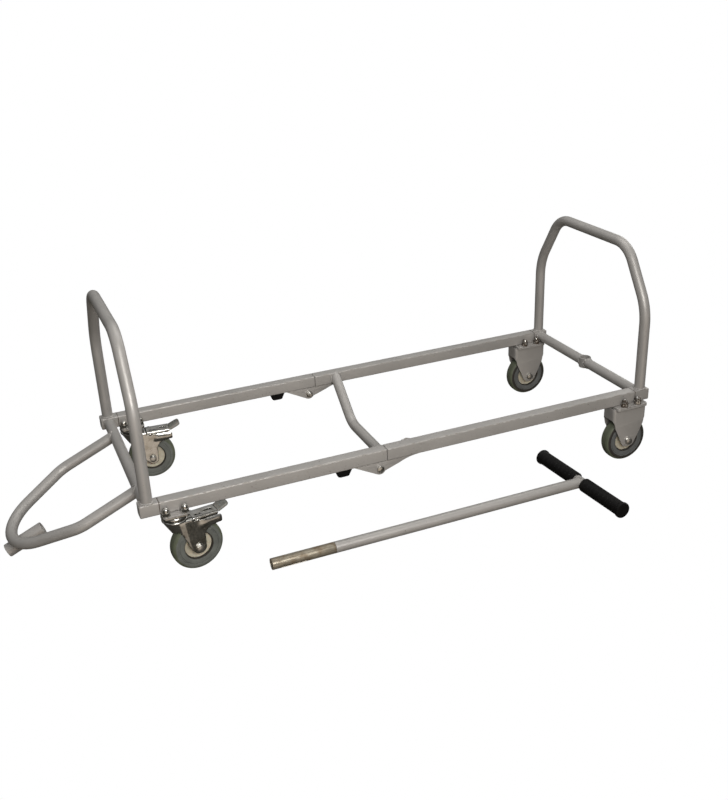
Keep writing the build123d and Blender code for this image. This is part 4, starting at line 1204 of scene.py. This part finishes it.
class TROLLEY_OT_forks(bpy.types.Operator):
    """Pressed forks of the swivel casters, with their axle bolts"""
    bl_idname = "trolley.forks"
    bl_label = "Forks"

    def execute(self, context):
        half = sheet_metal(self.blank(), SHEET, SHEET_EDGE, self.cuts(), self.side)
        crown = [(5.2, 118.3), (19.5, 118.3), (21.8, 117.7), (23.6, 116.4), (24.3, 114.8), (24.0, 113.4),
                 (22.6, 112.5), (5.2, 112.5)]
        bowl = turned(crown, Vector(), UP)
        axle = Matrix.Translation(Vector((TRAIL, 0, AXLE_HEIGHT)) * MM)
        for name, _ in SIDES:
            place = swivel_place(name)
            body = f"swivel_{name}"
            skins = moved([half, *mirrored([half]), bowl], place)
            stand_in("pressed", f"fork_{name}", skins, "zinc", body, crease=50)
            heads, nuts = axle_fasteners(place @ axle)
            stand_in("plated", f"axle_bolt_{name}", heads, "dull_zinc", body)
            stand_in("plated", f"axle_nut_{name}", nuts, "dull_zinc", body)
        return {"FINISHED"}

    def blank(self):
        """Flat outline of one half and its holes: lengthways, then up the leg to the middle."""
        middle = FORK_TOP - FORK_BEND + FORK_BEND * math.pi / 2 + FORK_HALF - FORK_BEND
        prow = [(-FORK_WRAP, 86.0), (-18.0, 88.5), (-8.0, 91.0), (-4.0, 90.0), (1.0, 85.0), (7.0, 71.0),
                (13.0, 58.0), (18.0, 49.0)]
        foot = arc(TRAIL, AXLE_HEIGHT, 13.0, 212, 360, 18)
        back = [(48.0, 74.0), (50.0, 79.0), (54.0, 83.6), (60.0, 87.2), (68.0, 90.0), (76.0, 91.6)]
        ear = arc(79.0, 95.0, 3.2, -75, 0, 5) + arc(79.0, 103.0, 3.2, 0, 90, 5)
        top = [(34.0, 106.2), (30.0, 107.4), (27.6, 110.0), (27.0, 113.0), (27.0, middle),
               (-FORK_WRAP, middle)]
        axle_hole = circle(TRAIL, AXLE_HEIGHT, BOLT / 2 + AXLE_PLAY)
        return [prow + foot + back + ear + top, axle_hole, circle(*LEVER_PIVOT, 2.7, 20)]

    def cuts(self):
        """Lines along which the blank is divided so that it can bend."""
        columns = [-FORK_WRAP + 1.5 * step for step in range(1, 37)]
        columns += [32, 40, 44, 48, 52, 60, 70, 76]
        rows = [FORK_TOP - FORK_BEND + FORK_BEND * math.pi / 12 * step for step in range(7)]
        rows += [60, 75, 88, 91, 94, 97, 100, 103, 121, 125]
        return [((at, 0), (1, 0)) for at in columns] + [((0, at), (0, 1)) for at in rows]

    def side(self, u, v):
        """Right half of the fork: flat leg with a bulged ear, folded prow in front, bent over to the top."""
        knee = FORK_TOP - FORK_BEND
        angle = min(max((v - knee) / FORK_BEND, 0.0), math.pi / 2)
        inset = FORK_BEND * (1 - math.cos(angle)) + max(0.0, v - knee - FORK_BEND * math.pi / 2)
        z = min(v, knee) + FORK_BEND * math.sin(angle)
        half = FORK_HALF - inset
        # The fold between leg and prow leans forwards as it rises
        ridge = 21.0 - (z - 46.0) * 9 / 62
        if u >= ridge:
            ear = min(max((u - 40.0) / 10.0, 0.0), 1.0)
            return u, half + ear * max(0.0, 3.0 - (v - 98.0) ** 2 / 27.0), z
        # So does the prow's front edge
        front = -8.0 - (z - 88.0) * 17 / 30 + inset
        outline = self.plan(front, ridge, half)
        left = (ridge - u) / (ridge + FORK_WRAP) * sum((b - a).length for a, b in zip(outline, outline[1:]))
        for start, end in zip(outline, outline[1:]):
            length = (end - start).length
            if left <= length:
                break
            left -= length
        spot = start.lerp(end, left / length)
        return spot.x, spot.y, z

    def plan(self, front, ridge, half):
        """Fork from above, from the leg forwards: a narrow strip, a flank and a blunt nose."""
        outline = [(ridge, half), (ridge - 0.7, half), (ridge - 9.5, half * 0.85), (front + 2.0, half * 0.2),
                   (front, 0)]
        return bent_path([Vector((x, y, 0)) for x, y in outline], [3.0, 2.0, half * 0.15], 4)


class TROLLEY_OT_brakes(bpy.types.Operator):
    """Brake levers and pedals of the swivel casters"""
    bl_idname = "trolley.brakes"
    bl_label = "Brakes"

    def execute(self, context):
        lever = [self.lever(), self.shoe(), self.pivot()]
        pedal = self.pedal()
        for name, _ in SIDES:
            place = swivel_place(name)
            stand_in("pressed", f"brake_lever_{name}", moved(lever, place), "zinc", f"brake_{name}",
                     crease=50)
            stand_in("moulded", f"brake_pedal_{name}", moved(pedal, place), "pedal", f"brake_{name}",
                     crease=50)
        return {"FINISHED"}

    def lever(self):
        """Pressed channel with a slot and two holes in its top."""
        outline = [(29.0, -20.2), *arc(75.0, -17.2, 3.0, -90, 0, 5),
                   *arc(75.0, 17.2, 3.0, 0, 90, 5), (29.0, 20.2)]
        slot = [*arc(57.0, 0.0, 2.4, 90, 270, 8), *arc(69.0, 0.0, 2.4, -90, 90, 8)]
        loops = [outline, slot, circle(38.0, -5.0, 2.2, 20), circle(46.0, -5.0, 1.8, 20)]
        bends = [side * (LEVER_FLAT + LEVER_BEND * math.pi / 12 * step)
                 for side in (-1, 1) for step in range(7)]
        thickness = 2.0
        edge = 0.4
        return sheet_metal(loops, thickness, edge, [((0, bend), (0, 1)) for bend in bends], self.channel)

    def channel(self, u, v):
        """Lever bent down along both sides."""
        past = max(abs(v) - LEVER_FLAT, 0.0)
        angle = min(past / LEVER_BEND, math.pi / 2)
        drop = max(past - LEVER_BEND * math.pi / 2, 0.0)
        across = min(abs(v), LEVER_FLAT) + LEVER_BEND * math.sin(angle)
        return u, math.copysign(across, v), LEVER_TOP - LEVER_BEND * (1 - math.cos(angle)) - drop

    def shoe(self):
        """Block under the lever that presses on the tread."""
        outline = rounded(8.0, 18.0, 1.0)
        places = [Matrix.Translation(Vector((52, 0, z)) * MM) for z in (100.4, 110.6)]
        return skin([outline_at(place, outline, MM) for place in places])

    def pivot(self):
        """Pin through lever and fork, with a riveted end on each side."""
        profile = [(0.3, -21.0), (2.0, -20.6), (2.9, -19.6), (2.5, -19.5),
                   (2.5, 19.5), (2.9, 19.6), (2.0, 20.6), (0.3, 21.0)]
        x, z = LEVER_PIVOT
        return turned(profile, Vector((x, 0, z)) * MM, ACROSS, sides=24, looped=False)

    def pedal(self):
        """Ribbed pad, square at the lever and rounded at its free end, tilted up."""
        outline = [(0.0, -13.0), *arc(18.0, -7.0, 6.0, -90, 0, 8),
                   *arc(18.0, 7.0, 6.0, 0, 90, 8), (0.0, 13.0)]
        thickness = 6.0
        pad = sheet_metal([outline], thickness, 1.6)
        ribs = []
        for x in (8, 12.5, 17):
            rib = [(x + dx, y) for dx, y in rounded(1.6, 19.0, 0.7)]
            ribs.append(sheet_metal([rib], 1.2, 0.4))
        tilt = Matrix.Rotation(math.radians(-24), 4, "Y")
        seat = Matrix.Translation(Vector((78.05, 0, 112.0)) * MM) @ tilt
        return moved([pad], seat @ Matrix.Translation(UP * -thickness / 2 * MM)) + moved(ribs, seat)


class TROLLEY_OT_rigid_brackets(bpy.types.Operator):
    """Folded brackets of the rear casters, with their axle bolts"""
    bl_idname = "trolley.rigid_brackets"
    bl_label = "Rigid Brackets"

    def execute(self, context):
        low, high, middle = span("rigid_bracket_left")
        flange = stud_plate("rear", middle, high.x - low.x, high.y - low.y, CASTER_PLATE)
        lift = Matrix.Translation(UP * (high.z - CASTER_PLATE / 2 * MM))
        bracket = [self.skirt(), *moved([flange], lift)]
        heads = []
        nuts = []
        for name, _ in SIDES:
            place = rigid_place(name)
            add_piece(f"folded_bracket_{name}", moved(bracket, place), "paint", "rear_frame",
                      [f"rigid_bracket_{name}"], crease=50)
            more_heads, more_nuts = axle_fasteners(place @ Matrix.Translation(UP * AXLE_HEIGHT * MM))
            heads += more_heads
            nuts += more_nuts
        stand_in("plated", "rear_axle_bolts", heads, "dull_zinc", "rear_frame")
        stand_in("plated", "rear_axle_nuts", nuts, "dull_zinc", "rear_frame")
        return {"FINISHED"}

    def skirt(self):
        """Legs and end walls, folded from one blank round a rectangle with bent corners."""
        half_length, half_width = BRACKET_HALF
        seam = (half_length, 0.0)
        ring = [seam, *rounded(2 * half_length, 2 * half_width, BRACKET_BEND, 8), seam]
        travel = [0.0]
        for before, after in zip(ring, ring[1:]):
            travel.append(travel[-1] + math.dist(before, after))
        cuts = [((at, 0), (1, 0)) for at in travel[1:-1]]
        folded = partial(self.around, ring, travel)
        return sheet_metal(self.blank(travel[-1]), SHEET, SHEET_EDGE, cuts, folded)

    def around(self, ring, travel, u, v):
        """Point of the blank carried round the ring, whose corners lie at these distances along it."""
        index = next((i for i in range(1, len(travel) - 1) if travel[i] > u), len(travel) - 1)
        share = (u - travel[index - 1]) / max(travel[index] - travel[index - 1], 1e-9)
        (x_before, y_before), (x_after, y_after) = ring[index - 1:index + 1]
        return x_before + (x_after - x_before) * share, y_before + (y_after - y_before) * share, v

    def blank(self, length):
        """Skirt laid flat from the middle of the rear wall, with both legs and their axle holes."""
        leg = arc(3.5, AXLE_HEIGHT, 13.5, -25, -90, 9) + arc(-3.5, AXLE_HEIGHT, 13.5, -90, -155, 9)
        corner = math.pi * BRACKET_BEND / 2
        half = BRACKET_HALF[1] - BRACKET_BEND
        start = half + corner
        side = 2 * (BRACKET_HALF[0] - BRACKET_BEND)
        other = start + side + 2 * corner + 2 * half
        gap = 0.15
        lower = [(gap, BRACKET_HIP), (half + 1.0, BRACKET_HIP), (start - 2.0, 96.0), (start, 85.0)]
        lower += [(start + side / 2 - x, z) for x, z in leg]
        lower += [(start + side, 85.0), (start + side + 2.0, 96.0),
                  (start + side + corner - 1.0, BRACKET_HIP)]
        lower += [(length - u, z) for u, z in reversed(lower)]
        top = [(length - gap, 130.0), (gap, 130.0)]
        holes = [circle(at + side / 2, AXLE_HEIGHT, BOLT / 2 + AXLE_PLAY) for at in (start, other)]
        return [lower + top, *holes]


class TROLLEY_OT_wheels(bpy.types.Operator):
    """Rubber tyres on moulded hubs"""
    bl_idname = "trolley.wheels"
    bl_label = "Wheels"

    def execute(self, context):
        tyre = [(26.52, 6.6), (27.0, 10.8), (27.9, 12.1), (29.4, 12.6), (31.5, 12.9), (36.6, 13.0),
                (37.2, 12.0), (38.6, 11.8), (39.3, 12.9), *arc(41.6, 5.0, 8.0, 85, 0, 10), (49.85, 2.5)]
        hub = [(4.06, 16.2), (10.4, 16.2), (11.0, 15.6), (11.2, 12.0), (12.0, 8.8), (13.8, 6.8), (17.0, 6.2),
               (20.5, 6.4), (23.2, 6.8), (24.4, 7.1), (25.4, 7.2), (26.5, 7.2)]
        tread = [(49.7, 2.5), *arc(41.5, 4.9, 7.9, 0, 66, 8), *arc(41.6, 5.0, 8.12, 66, 0, 8), (49.97, 2.5)]
        # Dark ring on the tyre's inner wall round the hub: painted shade in the recess
        lip = [(26.46, 6.6), (26.9, 10.8), (27.75, 12.1), (28.6, 12.5), (28.6, 12.2),
               (27.2, 10.7), (26.6, 6.6)]
        # Dark band on the rear tyres' outer shoulders: painted shade where the rounded shoulder turns away from
        # the light
        shoulder = [(39.5, 12.99), (41.0, 13.05), *arc(41.6, 5.0, 8.12, 85, 62, 6),
                    *arc(41.5, 4.9, 7.9, 62, 85, 6), (41.0, 12.7), (39.5, 12.7)]
        # Rings of painted shade on each end's tyres
        shade_rings = {"front": [lip], "rear": [lip, shoulder]}
        for end in ENDS:
            for name, _ in SIDES:
                centre, axis = joint_place(f"{end}_spin_{name}")
                body = f"{end}_wheel_{name}"
                stand_in("moulded", f"{end}_tyre_{name}", [turned(both_faces(tyre), centre, axis)],
                         f"{end}_tyre", body)
                stand_in("moulded", f"{end}_hub_{name}", [turned(both_faces(hub), centre, axis)], "hub", body,
                         crease=50)
                add_piece(f"{end}_tread_dirt_{name}", [turned(both_faces(tread), centre, axis)],
                          "tread", body)
                rings = [turned([(radius, face * height) for radius, height in profile], centre, axis)
                         for profile in shade_rings[end] for face in (1, -1)]
                add_piece(f"{end}_rim_painted_shade_{name}", rings, "tyre_shade", body)
        return {"FINISHED"}


class TROLLEY_OT_handle(bpy.types.Operator):
    """Loose T-handle: slotted bare shank, painted stem and crossbar, rubber grips"""
    bl_idname = "trolley.handle"
    bl_label = "Handle"

    def execute(self, context):
        sizes = context.scene.trolley_sizes
        low, high, cross = span("handle_crossbar")
        axis = (cross - span("handle_shank")[2]).normalized()
        bar_axis = (span("handle_grip_right")[2] - span("handle_grip_left")[2]).normalized()
        start = cross - axis * sizes.handle_length
        self.shank(sizes, basis(start, axis, UP))
        stem = open_tube(start + axis * sizes.shank_length, cross, TUBE_RADIUS, sizes.tube_wall)
        stand_in("painted", "handle_stem", [stem], "paint", "handle")
        shortening = 1 * MM
        half = bar_axis * ((high.y - low.y) / 2 - shortening)
        crossbar = open_tube(cross - half, cross + half, TUBE_RADIUS, sizes.tube_wall)
        stand_in("painted", "handle_crossbar", [crossbar], "paint", "handle")
        thin_bead = sizes.weld * 0.8
        weld = saddle_bead(cross, -axis, bar_axis, TUBE_RADIUS, TUBE_RADIUS, thin_bead)
        add_piece("handle_weld", [weld], "weld", "handle")
        for name, side in SIDES:
            add_piece(f"moulded_grip_{name}", [turned(self.grip(), cross, bar_axis * side)], "grip", "handle",
                      [f"handle_grip_{name}"], crease=35)
        return {"FINISHED"}

    def shank(self, sizes, place):
        """Tube rolled from a blank with two long slots, open at its end."""
        radius = (TUBE_RADIUS - sizes.tube_wall / 2) / MM
        around = 2 * math.pi * radius
        gap = 0.4
        edge = 0.25
        length = sizes.shank_length / MM - gap
        loops = [[(0, 0), (length, 0), (length, around), (0, around)]]
        for quarter in (1, 3):
            middle = around * quarter / 4
            loops.append([*arc(18.5, middle, 3.5, 90, 270, 8), *arc(65.5, middle, 3.5, -90, 90, 8)])
        cuts = [((0, around * step / ROUND), (0, 1)) for step in range(1, ROUND)]
        rolled = partial(self.rolled, radius, sizes.slot_turn)
        tube = sheet_metal(loops, sizes.tube_wall / MM, edge, cuts, rolled)
        stand_in("bare", "handle_shank", moved([tube], place), "shank", "handle")

    def rolled(self, radius, turn, u, v):
        """Point of the shank's blank, rolled round the handle's axis."""
        angle = v / radius + turn
        return u, radius * math.cos(angle), radius * math.sin(angle)

    def grip(self):
        """Profile of a closed grip from its inner end: shallow grooves, then a flared outer end."""
        radius = 14.75
        groove = 14.2
        profile = [(11.15, 13.0), (13.6, 13.0), (14.4, 13.5), (radius, 14.6)]
        for step in range(8):
            at = 23.0 + 12.0 * step
            profile += [(radius, at), (groove, at + 0.5), (groove, at + 1.5), (radius, at + 2.0)]
        profile += [(14.8, 121.0), (15.3, 124.5), (16.3, 126.8), (16.5, 128.0), (16.5, 130.8), (15.9, 132.2),
                    (14.2, 133.0), (8.0, 133.0), (3.0, 132.6), (0.3, 132.6), (0.3, 129.2), (11.15, 129.2)]
        return profile


# Stage

# Each softbox: name, place, the point it is aimed at, size in metres, beam in degrees and power in watts
SOFTBOXES = (
    ("overhead_softbox", (0.5, 0.35, 1.9), (0.4, 0.1, 0.0), (1.6, 1.0), 180, 8.0),
    ("front_softbox", (-0.2, -1.9, 1.4), (-0.05, 1.0, 0.15), (0.9, 0.8), 95, 10.5),
    ("rear_softbox", (2.5, 1.2, 1.2), (0.3, 0.1, 0.2), (1.2, 0.9), 180, 10.0),
)


class TROLLEY_OT_stage(bpy.types.Operator):
    """White studio sheet, lights and the camera"""
    bl_idname = "trolley.stage"
    bl_label = "Stage"

    def execute(self, context):
        scene = context.scene
        colours = scene.trolley_colours
        self.backdrop(scene, colours.backdrop)
        self.sky(scene)
        for softbox in SOFTBOXES:
            self.lamp(scene, colours.light, *softbox)
        self.camera(scene)
        scene.view_settings.view_transform = "Standard"
        return {"FINISHED"}

    def backdrop(self, scene, colour):
        """Wide floor sheet with raised edges, lit by itself alone and throwing no light on the trolley."""
        reach = 40.0
        floor = -0.5 * MM
        ring = [(-reach, -reach), (reach, -reach), (reach, reach), (-reach, reach)]
        points = [(x, y, z) for z in (floor, reach) for x, y in ring]
        walls = [(side, (side + 1) % 4, (side + 1) % 4 + 4, side + 4) for side in range(4)]
        mesh = bpy.data.meshes.new("backdrop")
        mesh.from_pydata(points, [], [(0, 1, 2, 3), *walls])
        mesh.materials.append(lit_backdrop(colour))
        sheet = bpy.data.objects.new("backdrop", mesh)
        scene.collection.objects.link(sheet)
        sheet.visible_diffuse = False
        sheet.visible_glossy = False
        sheet.visible_shadow = False

    def sky(self, scene):
        """Studio room: a pale ceiling, a dark ground, and a pale patch in front that the plating mirrors."""
        world = bpy.data.worlds.new("studio_room")
        world.use_nodes = True
        tree = world.node_tree
        tree.nodes.clear()
        place = add_node(tree, "TexCoord", {})["Generated"]
        height = add_node(tree, "SeparateXYZ", {"Vector": place})["Z"]
        above = add_node(tree, "MapRange", {"Value": height, "From Min": -0.05, "From Max": 0.05})["Result"]
        forwards = add_node(tree, "VectorMath", {
            0: place, 1: (-0.14, -0.99, 0.0)}, operation="DOT_PRODUCT")["Value"]
        patch = add_node(tree, "MapRange", {"Value": forwards, "From Min": 0.78, "From Max": 0.84})["Result"]
        glare = 1.6
        pale = [glare * channel for channel in linear("#E4D6C6")]
        ground = add_node(tree, "Mix", {
            0: patch, MIX_FIRST: linear("#5A5852"), MIX_SECOND: pale}, data_type="RGBA")[MIX_RESULT]
        ceiling = add_node(tree, "ValToRGB", {"Fac": height}, [
            (0.0, linear("#6C6C6C")), (0.30, linear("#8C8C8C")), (0.46, linear("#D8D8D6")),
            (1.0, linear("#E6E6E4"))])["Color"]
        colour = add_node(tree, "Mix", {
            0: above, MIX_FIRST: ground, MIX_SECOND: ceiling}, data_type="RGBA")[MIX_RESULT]
        glow = add_node(tree, "Background", {"Color": colour, "Strength": 0.6})["Background"]
        add_node(tree, "OutputWorld", {"Surface": glow})
        scene.world = world

    def lamp(self, scene, colour, name, at, target, size, beam, power):
        """Rectangular soft light aimed at a point."""
        light = bpy.data.lights.new(name, "AREA")
        light.shape = "RECTANGLE"
        light.size, light.size_y = size
        light.spread = math.radians(beam)
        light.energy = power
        light.color = colour
        holder = bpy.data.objects.new(name, light)
        holder.location = at
        holder.rotation_euler = (Vector(target) - Vector(at)).to_track_quat("-Z", "Y").to_euler()
        scene.collection.objects.link(holder)

    def camera(self, scene):
        """Camera fitted to the photo's perspective, placed from the middle of the rails' front end."""
        data = bpy.data.cameras.new("photo_camera")
        data.lens = 44.49
        data.sensor_width = 36.0
        data.clip_end = 200.0
        holder = bpy.data.objects.new("photo_camera", data)
        right = Vector((0.9195, -0.3911, -0.0397))
        ahead = Vector((0.3407, 0.8432, -0.4160))
        offset = Vector((-190.87, -1766.89, 881.11)) * MM
        holder.matrix_world = basis(FRONT_END + offset, right, -ahead)
        scene.collection.objects.link(holder)
        scene.camera = holder


# Add-on

STEPS = (
    TROLLEY_OT_rails,
    TROLLEY_OT_end_loops,
    TROLLEY_OT_rear_crossbar,
    TROLLEY_OT_brace,
    TROLLEY_OT_drawbar,
    TROLLEY_OT_fold_hinge,
    TROLLEY_OT_buffers,
    TROLLEY_OT_caster_plates,
    TROLLEY_OT_caster_fasteners,
    TROLLEY_OT_forks,
    TROLLEY_OT_brakes,
    TROLLEY_OT_rigid_brackets,
    TROLLEY_OT_wheels,
    TROLLEY_OT_handle,
    TROLLEY_OT_stage,
)


class TROLLEY_PT_sidebar(bpy.types.Panel):
    """Steps and settings of the trolley"""
    bl_idname = "TROLLEY_PT_sidebar"
    bl_label = "Folding Trolley"
    bl_space_type = "VIEW_3D"
    bl_region_type = "UI"
    bl_category = "Trolley"

    def draw(self, context):
        column = self.layout.column()
        for step in STEPS:
            column.operator(step.bl_idname)
        for settings in (context.scene.trolley_sizes, context.scene.trolley_colours):
            for name in settings.__annotations__:
                column.prop(settings, name)


CLASSES = (TrolleySizes, TrolleyColours, *STEPS, TROLLEY_PT_sidebar)


def register():
    """Registers the add-on's classes and settings."""
    for item in CLASSES:
        bpy.utils.register_class(item)
    bpy.types.Scene.trolley_sizes = PointerProperty(type=TrolleySizes)
    bpy.types.Scene.trolley_colours = PointerProperty(type=TrolleyColours)


def unregister():
    """Removes the add-on's settings and classes."""
    del bpy.types.Scene.trolley_colours
    del bpy.types.Scene.trolley_sizes
    for item in reversed(CLASSES):
        bpy.utils.unregister_class(item)


def main():
    """Builds every piece and the stage."""
    register()
    for step in STEPS:
        group, name = step.bl_idname.split(".")
        getattr(getattr(bpy.ops, group), name)()


if __name__ == "__main__":
    main()
